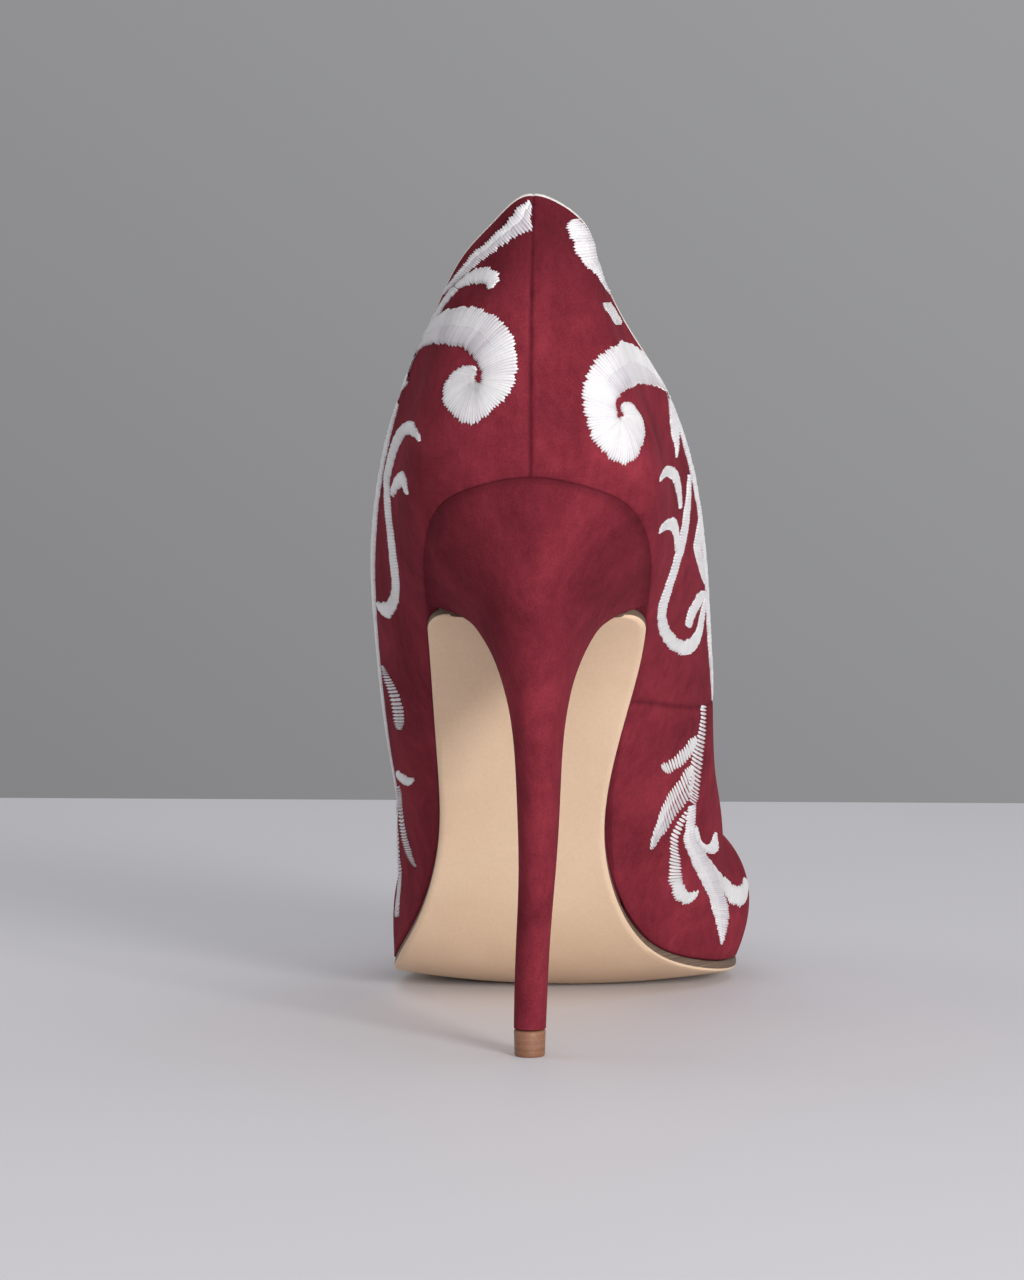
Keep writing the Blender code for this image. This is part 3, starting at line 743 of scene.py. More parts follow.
def thread_material():
    """White embroidery silk with satin gloss; its "thread" attribute gives random tone between threads and
    painted shade, lilac grey in the gaps between threads, along the split and over one row of split motifs.
    """
    made, tree, shader = node_material("white_silk", 0.85, 0.42, (1.0, 0.99, 1.0), specular=0.42)
    strands = noise(tree, 900.0, 3.0, 0.6)
    tones = (
        (0.0, (0.26, 0.20, 0.23)),
        (0.30, (0.48, 0.44, 0.48)),
        (0.62, (0.665, 0.65, 0.67)),
        (1.0, (0.83, 0.825, 0.82)),
    )
    shade = ramp(tree, attribute(tree, "thread"), tones)
    stranded = ramp(tree, strands, ((0.3, (0.90, 0.89, 0.91)), (0.7, (1.05, 1.05, 1.05))))
    color = mix(tree, 0.6, shade, stranded, "MULTIPLY")
    tree.links.new(color, shader.inputs["Base Color"])
    shader.inputs["Roughness"].default_value = 0.38
    bump(tree, shader, ((strands, 0.3, 0.0001),))
    return made


SUEDE = suede_material()
LINING = lining_material()
PALE_EDGE = edge_material()
TAN = sole_material()
SOLE_EDGE = sole_edge_material()
BROWN = tip_material()
SILK = thread_material()


# The upper

def fine_places():
    """The places of the fine ribs on each side, closer together beside the seams."""
    quarter = np.linspace(0.0, THROAT_ROW, QUARTER_RIBS + 1)
    vamp = np.linspace(THROAT_ROW, LAST_ROW, VAMP_RIBS + 1)[1:]
    ribs = np.array(SEAM_RIBS)
    seam = np.concatenate([SIDE_SEAM - ribs[::-1], [SIDE_SEAM], SIDE_SEAM + ribs])
    side = np.concatenate([quarter, vamp])

    def thinned(places, near):
        far = [p for p in places if np.min(np.abs(near - p)) > 0.03]
        return np.unique(np.round(np.concatenate([far, near]), 6))

    lateral = thinned(side[1:], ribs)
    medial = thinned(side[1:-1], np.concatenate([ribs, seam]))
    return np.concatenate([-lateral[::-1], [0.0], medial])


def shell_net():
    """Places and shares of the fine shell: the ribs near the side seam lean with it."""
    places = fine_places()
    shares = np.linspace(0.0, 1.0, SHELL_ROWS + 1)
    place, share = np.meshgrid(places, shares, indexing="ij")
    near = np.clip(1.0 - np.abs(place - SIDE_SEAM) / 3.6, 0.0, 1.0)
    weight = near**2 * (3.0 - 2.0 * near)
    lean = side_seam_place(share) - SIDE_SEAM
    return places, place + weight * lean, share


def groove(distance, width):
    return np.exp(-((distance / width) ** 2))


def seam_depths(places, place, share):
    """How deep the seams press into the suede, in millimetres, and how dark the suede is drawn there: the
    dark seams, with painted shade over the top of the back and the lateral side.
    """
    from_back = places[:, None] * BACK_RIB
    back = groove(from_back, SEAM_WIDTH) * np.ones_like(share)
    wander = 1.0 + 0.25 * np.sin(share * 41.0) + 0.2 * np.sin(share * 97.0 + 1.0)
    side = groove((place - side_seam_place(share)) * SIDE_RIB, 0.8 * SEAM_WIDTH)
    side = side * (places[:, None] > 4.0)
    depth = SEAM_DEPTH * back * wander + 0.8 * SEAM_DEPTH * side
    pillow = PILLOW * (groove(np.abs(from_back) - 2.6, 1.5) * np.ones_like(share))
    pucker = PUCKER * groove(from_back, 3.5) * np.sin(share * 63.0)
    tie = TIE_DEPTH * groove(from_back, 1.4) * groove((share - TIE_SHARE) * SEAM_LENGTH, 1.6)
    dark = np.clip(0.62 * back * (0.8 + 0.2 * wander) + 0.42 * side + 0.5 * tie, 0.0, 1.0)
    # Painted shade: the suede drawn darker towards the top of the back seam and over the lateral side, the
    # side away from the key lamp.
    painted_shade = 0.50 * np.clip((share - 0.56) / 0.34, 0.0, 1.0) * groove(place, 2.6)
    painted_shade = painted_shade + 0.10 * np.clip(-place / 3.0, 0.0, 1.0)
    return depth - pillow * 0.5 + pucker * 0.5 + tie, np.maximum(dark, painted_shade)


def soft_waves(points):
    """Gentle unevenness of the suede over the last, in millimetres."""
    x, y, z = points[..., 0], points[..., 1], points[..., 2]
    slow = np.sin(x / 9.0 + 0.7) * np.sin(y / 13.0 + 1.3) * np.sin(z / 11.0)
    quick = np.sin(x / 4.1 + y / 6.3) * np.sin(z / 5.2 + 0.4)
    return SLOW_WAVE * slow + QUICK_WAVE * quick


def build_upper():
    """The suede with its seams and the lining inside it, each tucked under at the feather."""
    places, place, share = shell_net()
    points = on_upper(place, share)
    normals = upper_normals(place, share)
    depth, dark = seam_depths(places, place, share)
    fade = np.clip(share / 0.06, 0.0, 1.0) * np.clip((1.0 - share) / 0.04, 0.0, 1.0)
    fade = np.where(np.abs(place) > THROAT_ROW, np.clip(share / 0.06, 0.0, 1.0), fade)
    press = depth * np.clip(share / 0.03, 0.0, 1.0) - soft_waves(points) * fade
    outside = points - press[..., None] * normals
    rows, columns = share.shape
    inside = points[:, 1:] - WALL * normals[:, 1:]
    tucks = []
    for step in TUCK:
        ring = []
        for at in places:
            x, y = outline_point(float(at), SOLE_INSET + step)
            ring.append((x, y, bottom_height(x, y) - TUCK_DROP))
        tucks.append(ring)
    tucks = np.array(tucks).transpose(1, 0, 2)[:, ::-1]
    net = np.concatenate([tucks, outside], axis=1)
    # The tucked rows under the feather carry painted shade; the rest carries the dark seams and the painted
    # shade that seam_depths adds.
    shade = np.concatenate([np.full((rows, len(TUCK)), TUCK_SHADE), dark], axis=1)
    faces = quads(rows, net.shape[1], closed=True)
    edge = np.abs(places) <= THROAT_ROW + 1e-6
    upper = add_piece("upper_suede", net.reshape(-1, 3), faces, [SUEDE], values={"seam": shade.reshape(-1)})
    turned = []
    for at in places:
        x, y = outline_point(float(at), WALL + INSOLE_MARGIN + LINING_TURN)
        turned.append((x, y, bottom_height(x, y) + 0.25 * INSOLE_THICKNESS))
    inside = np.concatenate([np.array(turned)[:, None], inside], axis=1)
    faces = quads(rows, columns, closed=True)[:, ::-1]
    lined = add_piece("upper_lining", inside.reshape(-1, 3), faces, [LINING])
    rim_of_upper(outside[edge][:, -1], inside[edge][:, -1])
    return upper, lined


def rim_of_upper(outer, inner):
    """The top edge: a thin pale bead of lining turned over it, a little proud of the suede."""
    middle = 0.5 * (outer + inner)
    across = outer - middle
    run = units(np.roll(middle, -1, axis=0) - np.roll(middle, 1, axis=0))
    up = units(np.cross(across, run))
    up = np.where(up[:, 2:3] < 0, -up, up)
    half = np.linalg.norm(across, axis=1)[:, None]
    wide = across * (half + BEAD_REACH) / half
    turns = np.radians(np.linspace(*BEAD_TURNS, RIM_STEPS + 1))
    net = np.stack([middle + math.cos(t) * wide + BEAD_RISE * math.sin(t) * half * up for t in turns], axis=1)
    faces = quads(len(outer), net.shape[1], closed=True)
    piece = add_piece("topline_edge", net.reshape(-1, 3), faces, [PALE_EDGE])
    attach(piece, "root")


# The sole, the sock and the heel

def plate_net(places, widths, inset, top, bottom, under, floor=None):
    """A plate under the last as closed sections between two offsets from its bottom, with round edges."""
    shares = np.sin(np.linspace(-math.pi / 2, math.pi / 2, SOLE_COLUMNS + 1))
    turns = np.linspace(0.0, math.pi, EDGE_STEPS + 1)[1:-1]
    middle_rise, half_rise = 0.5 * (top + bottom), 0.5 * (top - bottom)
    loops = []
    for place, width in zip(places, widths):
        lateral, medial = outline_point(-place, inset), outline_point(place, inset)
        middle, half = 0.5 * (lateral + medial), 0.5 * (medial - lateral) * width
        reach = max(np.linalg.norm(half), 1e-6)
        high = min(EDGE_ROUND, 0.4 * reach) / reach
        low = min(under, 0.4 * reach) / reach
        pulls = [high if t <= 0.5 * math.pi else low for t in turns]
        sides = [1.0 - pull + pull * math.sin(t) ** 0.6 for t, pull in zip(turns, pulls)]
        rises = [middle_rise + half_rise * math.cos(t) for t in turns]
        spots = [(share * (1.0 - high), top) for share in shares]
        spots += list(zip(sides, rises))
        spots += [(share * (1.0 - low), bottom) for share in shares[::-1]]
        spots += [(-side, rise) for side, rise in zip(sides[::-1], rises[::-1])]
        loop = []
        for share, rise in spots:
            x, y = middle + half * share
            point = np.array([x, y, bottom_height(x, y)]) + rise * bottom_normal(x, y)
            if floor is not None:
                point[2] = max(point[2], floor)
            loop.append(point)
        loops.append(loop)
    return np.array(loops)


def plate_piece(name, net, flat_finish, edge_finish):
    """The plate as a mesh: its faces in one finish, its edge all round in another."""
    rows, around = net.shape[:2]
    ring = np.arange(around)
    after = (ring + 1) % around
    start = (np.arange(rows - 1) * around)[:, None]
    faces = np.stack([start + ring, start + around + ring, start + around + after, start + after], axis=-1)
    faces = faces.reshape(-1, 4)
    round_it = (ring % (SOLE_COLUMNS + EDGE_STEPS)) - SOLE_COLUMNS
    medial = ring < SOLE_COLUMNS + EDGE_STEPS
    edge = (round_it >= 0) & np.where(medial, round_it < EDGE_STEPS // 2 + 1, round_it >= EDGE_STEPS // 2 - 1)
    kinds = np.tile(edge.astype(int), rows - 1).tolist()
    faces = faces.tolist()
    for row, turned in ((0, False), (rows - 1, True)):
        base = row * around
        side = SOLE_COLUMNS + EDGE_STEPS
        for j in range(SOLE_COLUMNS):
            across = base + side + SOLE_COLUMNS - j
            face = [base + j, base + j + 1, across - 1, across]
            faces.append(face[::-1] if turned else face)
            kinds.append(1)
        left = [base + SOLE_COLUMNS + i for i in range(EDGE_STEPS + 1)]
        right = [base + side + SOLE_COLUMNS + i for i in range(EDGE_STEPS)] + [base]
        faces.append(left[::-1] if turned else left)
        faces.append(right[::-1] if turned else right)
        kinds += [1, 1]
    piece = add_piece(name, net.reshape(-1, 3), faces, [flat_finish, edge_finish], kinds)
    piece.data.set_sharp_from_angle(angle=math.radians(48))
    return piece


def build_sole():
    """The leather sole from the breast of the heel to the toe."""
    start = place_at(BREAST_Y + GAP)
    lean = [place_at(BREAST_Y + GAP + share * SOLE_CORNER) for share in CORNER_SHARES]
    rest = np.linspace(lean[-1] + 0.05, LAST_ROW - 0.16, SOLE_ROWS)
    places = [start] + lean + list(rest) + [LAST_ROW - 0.09, LAST_ROW - 0.04]
    widths = []
    for place in places:
        distance = feather_point(place)[1] - BREAST_Y - GAP
        half = 0.5 * (feather_point(place)[0] - feather_point(-place)[0])
        widths.append(corner_width(distance, SOLE_CORNER, half))
    net = plate_net(places, widths, SOLE_INSET, -GAP, -GAP - SOLE_THICKNESS, SOLE_UNDERCUT, 0.0)
    return plate_piece("sole_leather", net, TAN, SOLE_EDGE)


def build_sock():
    """The sock on the insole, as one pale plate."""
    middle = list(np.linspace(0.45, LAST_ROW - 0.4, SOCK_ROWS))
    places = [0.05, 0.1, 0.18, 0.3] + middle + [LAST_ROW - 0.2, LAST_ROW - 0.08]
    bottom = 0.5 * GAP
    widths = [1.0] * len(places)
    net = plate_net(places, widths, WALL + INSOLE_MARGIN, bottom + INSOLE_THICKNESS, bottom, EDGE_ROUND)
    return plate_piece("sock", net, LINING, PALE_EDGE)


def chord_spline(knots, values, at):
    """A smooth curve through rows of values at uneven knots, read at other places."""
    knots, values, at = np.asarray(knots, float), np.asarray(values, float), np.asarray(at, float)
    count = len(knots)
    gaps = np.diff(knots)
    matrix = np.eye(count)
    right = np.zeros_like(values)
    for i in range(1, count - 1):
        matrix[i, i - 1 : i + 2] = (gaps[i - 1], 2.0 * (gaps[i - 1] + gaps[i]), gaps[i])
        right[i] = 6.0 * ((values[i + 1] - values[i]) / gaps[i] - (values[i] - values[i - 1]) / gaps[i - 1])
    bend = np.linalg.solve(matrix, right)
    low = np.clip(np.searchsorted(knots, at) - 1, 0, count - 2)
    a = (knots[low + 1] - at)[:, None]
    b = (at - knots[low])[:, None]
    gap = gaps[low][:, None]
    before = (values[low] / gap - bend[low] * gap / 6.0) * a
    line = before + (values[low + 1] / gap - bend[low + 1] * gap / 6.0) * b
    return line + bend[low] * a**3 / (6.0 * gap) + bend[low + 1] * b**3 / (6.0 * gap)


def capped_rings(rows, around):
    """Faces of closed rings of points, one below the other, with the first and the last ring closed."""
    ring = np.arange(around)
    after = (ring + 1) % around
    start = (np.arange(rows - 1) * around)[:, None]
    faces = np.stack([start + ring, start + after, start + around + after, start + around + ring], axis=-1)
    faces = faces.reshape(-1, 4).tolist()
    faces.append(list(range(around))[::-1])
    faces.append([(rows - 1) * around + i for i in range(around)])
    return faces


def build_heel():
    """The covered heel: a fine surface through the same sections, with the cover's seam down its breast."""
    seat = np.array(seat_outline(HEEL_SIDE, HEEL_FRONT))
    sections = np.array([heel_section(heel_size(row, seat), HEEL_SIDE, HEEL_FRONT) for row in HEEL])
    knots = sections[:, :, 2].mean(axis=1)[::-1]
    around = sections.shape[1]
    share = np.linspace(0.0, 1.0, HEEL_ROWS + 1) ** 1.25
    at = knots[0] + (knots[-1] - knots[0]) * (1.0 - share)
    fine = chord_spline(knots, sections[::-1].reshape(len(knots), -1), at).reshape(-1, around, 3)
    net = np.concatenate([np.array([seat, seat + (fine[0] - seat) * 0.5]), fine])
    middle = HEEL_SIDE + HEEL_FRONT // 2
    outward = units(net - net.mean(axis=1, keepdims=True))
    away = np.linalg.norm(net - net[:, middle : middle + 1], axis=-1)
    seam = groove(away, 0.5) * (net[..., 1] > net[..., 1].mean(axis=1, keepdims=True))
    net = net - (HEEL_SEAM * seam)[..., None] * outward
    wave = COVER_WAVE * np.sin(net[..., 2] / 7.0 + net[..., 0] / 5.0)
    net = net + wave[..., None] * outward * np.array([1, 1, 0])
    # Painted shade: the cover drawn darker towards its top, more on its lateral side, and darkest on the top
    # ring against the seat; the breast seam's darkness is a dark joint.
    rise = np.clip((net[..., 2] - PAINTED_SHADE_FROM) / PAINTED_SHADE_RISE, 0.0, 1.0)
    painted_shade = rise * (0.22 + 0.14 * np.clip((2.0 - net[..., 0]) / 14.0, 0.0, 1.0))
    shade = np.clip(np.maximum(0.7 * seam, painted_shade), 0, 1)
    shade[0] = 0.6
    faces = capped_rings(len(net), around)
    piece = add_piece("heel_cover", net.reshape(-1, 3), faces, [SUEDE], values={"seam": shade.reshape(-1)})
    piece.data.set_sharp_from_angle(angle=math.radians(60))
    return piece


def build_top_piece():
    """The small top piece under the heel, with eased edges."""
    middle, breast = HEEL[-1][6] * BALL_WIDTH, HEEL[-1][7]
    loops = []
    steps = [(TIP_HEIGHT - drop, cut) for cut, drop in ((0.35, 0.0), (0.12, 0.12), (0.0, 0.4))]
    steps += [(TIP_HEIGHT * share, TIP_TAPER * (1 - share)) for share in (0.75, 0.5, 0.25)]
    steps += [(0.35, TIP_TAPER), (0.1, TIP_TAPER + 0.12), (0.0, TIP_TAPER + 0.35)]
    for z, cut in steps:
        reach = 0.5 * TIP_DEPTH - cut
        size = (z, z, -reach, reach, 0.5 * TIP_WIDTH - cut, middle, breast)
        loops.append(heel_section(size, HEEL_SIDE, HEEL_FRONT))
    net = np.array(loops)
    piece = add_piece("top_piece", net.reshape(-1, 3), capped_rings(*net.shape[:2]), [BROWN])
    piece.data.set_sharp_from_angle(angle=math.radians(50))
    return piece


# The embroidery: each row of a chart is one thread by its two ends, as pixels of the 1024 x 1280 picture

LATERAL_CHART = {
    "back leaf": ("split", (
        (530, 200, 534, 206), (524, 203, 535, 216), (519, 207, 535, 226), (513, 214, 526, 232),
        (502, 226, 511, 240), (488, 240, 497, 250), (474, 254, 483, 262), (462, 270, 470, 273),
        (451, 284, 457, 285), (444, 294, 445, 295),
    )),
    "back hook": ("plain", (
        (457, 285, 459, 289), (463, 280, 464, 287), (470, 273, 471, 284), (482, 268, 479, 284),
        (493, 269, 485, 285), (500, 275, 488, 286), (499, 282, 488, 288), (494, 288, 489, 290),
    )),
    "back stem": ("plain", (
        (456, 286, 460, 290), (449, 294, 453, 297), (441, 306, 444, 309), (434, 319, 437, 322),
        (427, 331, 431, 333),
    )),
    "great scroll": ("curled", (
        (421, 343, 412, 372), (425, 336, 416, 360), (431, 327, 421, 351), (438, 318, 428, 346),
        (450, 310, 438, 344), (468, 306, 451, 345), (486, 310, 464, 348), (502, 320, 473, 354),
        (513, 334, 478, 361), (519, 352, 481, 369), (519, 370, 482, 377), (515, 386, 481, 381),
        (507, 399, 479, 382), (496, 410, 478, 382), (484, 420, 478, 382), (471, 424, 478, 381),
        (458, 422, 477, 380), (449, 413, 477, 379), (445, 400, 477, 378), (446, 387, 477, 377),
        (452, 375, 477, 376), (462, 367, 478, 374), (472, 365, 478, 372), (478, 367, 479, 370),
    )),
    "scroll root": ("plain", (
        (421, 343, 412, 372), (414, 356, 411, 378), (409, 368, 411, 384), (403, 382, 406, 389),
        (397, 396, 399, 399),
    )),
    "long vine": ("plain", (
        (419, 441, 417, 442), (418, 433, 413, 438), (413, 424, 410, 435), (405, 421, 405, 435),
        (396, 427, 400, 442), (389, 439, 395, 453), (384, 456, 391, 468), (381, 474, 389, 482),
        (381, 492, 391, 497), (384, 518, 394, 518), (387, 540, 397, 540), (389, 562, 400, 560),
        (392, 579, 403, 578), (393, 592, 403, 597), (391, 600, 398, 611), (388, 603, 391, 618),
        (384, 602, 384, 613), (381, 600, 380, 606),
    )),
    "vine hook": ("plain", (
        (390, 492, 393, 498), (392, 481, 394, 494), (397, 473, 399, 488), (402, 473, 402, 487),
        (406, 481, 404, 491), (408, 494, 407, 495),
    )),
    "wall leaf": ("open split", (
        (386, 664, 389, 667), (388, 676, 396, 676), (391, 688, 403, 687), (393, 700, 408, 699),
        (394, 712, 410, 712), (396, 722, 408, 722), (400, 729, 404, 730),
    )),
    "low hook": ("plain", (
        (398, 769, 399, 778), (404, 774, 403, 782), (409, 777, 407, 786), (414, 778, 411, 785),
        (415, 781, 413, 784),
    )),
    "low leaf": ("open split", (
        (397, 786, 401, 784), (397, 798, 405, 796), (399, 812, 408, 811), (402, 828, 411, 827),
        (406, 842, 413, 841), (411, 855, 416, 855), (417, 867, 419, 866),
    )),
    "low curl": ("open", (
        (397, 806, 400, 806), (395, 820, 400, 820), (395, 834, 402, 834), (395, 850, 403, 850),
        (395, 868, 404, 868), (395, 886, 404, 886), (394, 900, 404, 903), (397, 912, 401, 914),
    )),
}

MEDIAL_CHART = {
    "back leaf": ("split", (
        (570, 220, 579, 219), (566, 228, 586, 226), (568, 236, 590, 234), (573, 246, 593, 244),
        (580, 256, 597, 254), (587, 266, 601, 264), (595, 277, 605, 275), (603, 287, 609, 285),
        (612, 294, 613, 293),
    )),
    "bud": ("blunt", (
        (603, 303, 606, 303), (604, 309, 612, 307), (606, 315, 617, 312), (609, 320, 620, 317),
        (613, 325, 620, 322), (616, 325, 618, 325),
    )),
    "great scroll": ("curled", (
        (668, 388, 672, 400), (662, 377, 668, 392), (654, 363, 660, 387), (642, 350, 652, 385),
        (627, 344, 643, 384), (612, 347, 633, 387), (599, 356, 625, 392), (589, 369, 620, 398),
        (583, 385, 617, 406), (582, 402, 618, 412), (584, 416, 619, 416), (588, 430, 619, 418),
        (594, 442, 620, 419), (604, 454, 620, 419), (615, 462, 621, 419), (626, 464, 621, 419),
        (634, 461, 622, 419), (641, 452, 622, 418), (645, 440, 622, 417), (645, 428, 622, 416),
        (642, 418, 622, 415), (638, 410, 621, 413), (632, 403, 621, 411), (626, 401, 621, 408),
        (622, 404, 621, 406),
    )),
    "scroll root": ("plain", (
        (668, 388, 669, 396), (671, 397, 670, 406), (675, 408, 670, 417), (678, 419, 671, 427),
        (680, 431, 673, 437), (680, 444, 676, 447), (678, 457, 677, 458),
    )),
    "first hook": ("plain", (
        (660, 482, 661, 481), (661, 475, 665, 478), (664, 469, 669, 478), (670, 466, 673, 480),
        (677, 470, 676, 487), (681, 481, 677, 493), (682, 494, 679, 503), (682, 508, 680, 509),
    )),
    "second hook": ("plain", (
        (659, 534, 660, 533), (661, 526, 666, 530), (665, 518, 670, 532), (671, 516, 674, 536),
        (677, 521, 675, 544), (679, 536, 676, 552), (679, 548, 678, 557),
    )),
    "long vine": ("plain", (
        (689, 474, 692, 476), (686, 496, 693, 496), (683, 516, 692, 516), (680, 532, 689, 537),
        (675, 549, 686, 552), (669, 570, 680, 570), (663, 588, 675, 585), (658, 603, 670, 600),
        (656, 618, 667, 616), (659, 634, 670, 629), (667, 646, 677, 638), (678, 654, 684, 640),
        (691, 653, 692, 636), (700, 641, 697, 626), (704, 626, 698, 616), (706, 613, 701, 603),
        (707, 598, 704, 594),
    )),
    "folded leaf": ("plain", (
        (704, 588, 706, 597), (697, 591, 703, 604), (690, 601, 700, 611), (685, 614, 696, 618),
        (684, 623, 693, 623), (688, 628, 690, 627),
    )),
    "edge leaf": ("plain", (
        (702, 508, 704, 509), (699, 522, 704, 523), (694, 535, 705, 536), (690, 545, 706, 545),
        (691, 554, 706, 553), (695, 563, 707, 563), (699, 574, 707, 576), (704, 584, 707, 585),
    )),
    "spray trunk": ("open split", (
        (700, 705, 705, 705), (699, 720, 704, 722), (696, 735, 703, 738), (692, 750, 701, 755),
        (689, 765, 699, 772), (687, 782, 697, 790), (686, 800, 696, 806),
    )),
    "spray hook": ("open", (
        (694, 732, 695, 744), (687, 741, 690, 754), (680, 749, 683, 763), (672, 757, 675, 769),
        (664, 762, 668, 773), (659, 765, 661, 770),
    )),
    "long leaf": ("open split", (
        (688, 756, 694, 784), (680, 768, 692, 798), (672, 781, 685, 809), (665, 795, 676, 822),
        (661, 810, 668, 832), (658, 826, 661, 842), (652, 849, 653, 850),
    )),
    "curl": ("open", (
        (685, 810, 690, 813), (677, 828, 685, 832), (673, 846, 681, 850), (669, 864, 680, 866),
        (667, 880, 680, 878), (670, 893, 682, 885), (677, 902, 685, 890), (686, 903, 690, 891),
        (693, 897, 694, 891), (696, 891, 695, 889),
    )),
    "middle leaf": ("split", (
        (687, 806, 695, 803), (688, 825, 698, 822), (688, 842, 702, 839), (690, 857, 707, 852),
        (693, 872, 714, 868), (698, 886, 720, 884), (705, 899, 725, 901), (711, 915, 726, 917),
        (715, 930, 723, 933), (718, 944, 719, 945),
    )),
    "small hook": ("plain", (
        (697, 833, 699, 823), (704, 848, 706, 839), (712, 854, 712, 845), (719, 852, 717, 842),
        (723, 845, 719, 837), (722, 833, 720, 832),
    )),
    "side curl": ("open", (
        (708, 855, 711, 866), (715, 869, 716, 884), (722, 877, 721, 894), (729, 883, 727, 903),
        (735, 883, 734, 910), (739, 877, 741, 907), (740, 870, 744, 893),
    )),
}


# How far along a motif its two rows of thread run as a share of its length, its greatest width
# in millimetres, and how far its threads stand apart
KINDS = {
    "plain": (0.0, 5.5, 0.0),
    "split": (1.2, 8.5, 0.0),
    "curled": (0.60, 16.0, 0.0),
    "blunt": (0.0, 16.0, 0.0),
    "open": (0.0, 4.6, 1.0),
    "open split": (1.2, 7.0, 1.0),
}

# The shoe's edges in the picture: a row of pixels, then its left and right edge
OUTLINE = (
    (204, 514, 566), (220, 492, 584), (240, 473, 591), (260, 461, 602), (280, 450, 607), (300, 441, 615),
    (320, 432, 622), (340, 424, 637), (360, 416, 651), (380, 408, 663), (400, 400, 673), (420, 389, 680),
    (440, 383, 688), (460, 378, 693), (480, 376, 697), (520, 374, 703), (560, 373, 706), (600, 376, 709),
    (640, 380, 711), (680, 386, 712), (720, 388, 712), (760, 393, 712), (780, 396, 715), (800, 398, 718),
    (820, 400, 725), (840, 401, 737), (860, 402, 741), (880, 395, 744), (900, 394, 745), (940, 393, 740),
)
MIDDLE_COLUMN = 533.0


def picture(points):
    """Pixels at which the camera sees points given in millimetres."""
    turn, dip = math.radians(CAMERA_TURN), math.radians(CAMERA_DIP)
    across = np.array([math.cos(turn), math.sin(turn), 0.0])
    ahead = np.array([-math.sin(turn) * math.cos(dip), math.cos(turn) * math.cos(dip), -math.sin(dip)])
    upward = np.cross(across, ahead)
    away = points - np.array(CAMERA)
    depth = away @ ahead
    scale = LENS / 36.0 * max(PICTURE)
    x = 0.5 * PICTURE[0] + scale * (away @ across) / depth
    y = 0.5 * PICTURE[1] - scale * (away @ upward) / depth
    return x, y, depth


def seen_side(side):
    """The part of one side that the camera sees: places, shares, pixels and depths of close points."""
    place, share = np.meshgrid(np.linspace(0.0, 11.9, 1191), np.linspace(0.004, 0.994, 199), indexing="ij")
    place = side * place
    points = on_upper(place, share)
    sight = units(np.array(CAMERA) - points)
    seen = (upper_normals(place, share) * sight).sum(axis=-1) > 0.02
    x, y, depth = picture(points[seen])
    tree = KDTree(len(x))
    for i, (across, down) in enumerate(zip(x, y)):
        tree.insert((across, down, 0.0), i)
    tree.balance()
    return place[seen], share[seen], x, y, depth, tree


def edge_of(seen, side):
    """The rows of the outline, its edge on this side and the edge of the fine upper there."""
    rows = np.array([row[0] for row in OUTLINE], float)
    drawn_edge = np.array([row[1 if side < 0 else 2] for row in OUTLINE], float)
    across, down = seen[2], seen[3]
    built = []
    for row in rows:
        band = across[np.abs(down - row) < 3.0]
        built.append(band.min() if side < 0 else band.max())
    return rows, drawn_edge, np.array(built)


def charted(seen, edges, x, y):
    """Place and share under a pixel, kept in proportion between the middle and the outline."""
    place, share, _, _, depth, tree = seen
    rows, drawn_edge, built = edges
    reach = np.interp(y, rows, built) - MIDDLE_COLUMN
    x = MIDDLE_COLUMN + (x - MIDDLE_COLUMN) * reach / (np.interp(y, rows, drawn_edge) - MIDDLE_COLUMN)
    found = tree.find_n((x, y, 0.0), NEIGHBOURS)
    spots = np.array([index for _, index, _ in found])
    miss = np.array([distance for _, _, distance in found])
    near = miss < miss.min() + NEAR_PIXELS
    front = spots[near][np.argmin(depth[spots[near]] + 40.0 * miss[near])]
    level = np.abs(depth[spots] - depth[front]) < SAME_DEPTH
    same = level & (np.abs(place[spots] - place[front]) < SAME_PLACE)
    weight = 1.0 / (miss[same] + 0.15) ** 2
    return tuple(float((weight * some[spots[same]]).sum() / weight.sum()) for some in (place, share))


def traced(seen, edges, rows):
    """A chart's rows drawn finer in the picture, then found on the upper and smoothed."""
    curves = [natural_spline(column) for column in np.array(rows, float).T]
    fine = np.linspace(0.0, len(rows) - 1.0, CHART_STEPS * (len(rows) - 1) + 1)
    x1, y1, x2, y2 = (along(curve, fine) for curve in curves)
    ends = []
    for first, second in zip(zip(x1, y1), zip(x2, y2)):
        ends.append(charted(seen, edges, *first) + charted(seen, edges, *second))
    for _ in range(3):
        ends = eased(ends)
    return ends


def narrowed(rows, limit):
    """Rows of thread ends drawn in where they come out wider than the limit in millimetres."""
    rows = np.array(rows, float)
    width = np.linalg.norm(on_upper(rows[:, 0], rows[:, 1]) - on_upper(rows[:, 2], rows[:, 3]), axis=1)
    share = np.linspace(0.0, 1.0, len(rows))
    limit = limit * np.clip(0.30 + 5.0 * np.minimum(share, 1.0 - share), 0.0, 1.0)
    keep = np.where(width > limit, (limit + 0.3 * (width - limit)) / np.maximum(width, 1e-6), 1.0)
    middle = 0.5 * (rows[:, :2] + rows[:, 2:])
    half = 0.5 * (rows[:, 2:] - rows[:, :2]) * keep[:, None]
    return np.hstack([middle - half, middle + half])


def eased(rows):
    """Rows of thread ends with small unevenness between neighbours taken out."""
    rows = np.array(rows, float)
    smooth = rows.copy()
    smooth[1:-1] = 0.25 * rows[:-2] + 0.5 * rows[1:-1] + 0.25 * rows[2:]
    return smooth


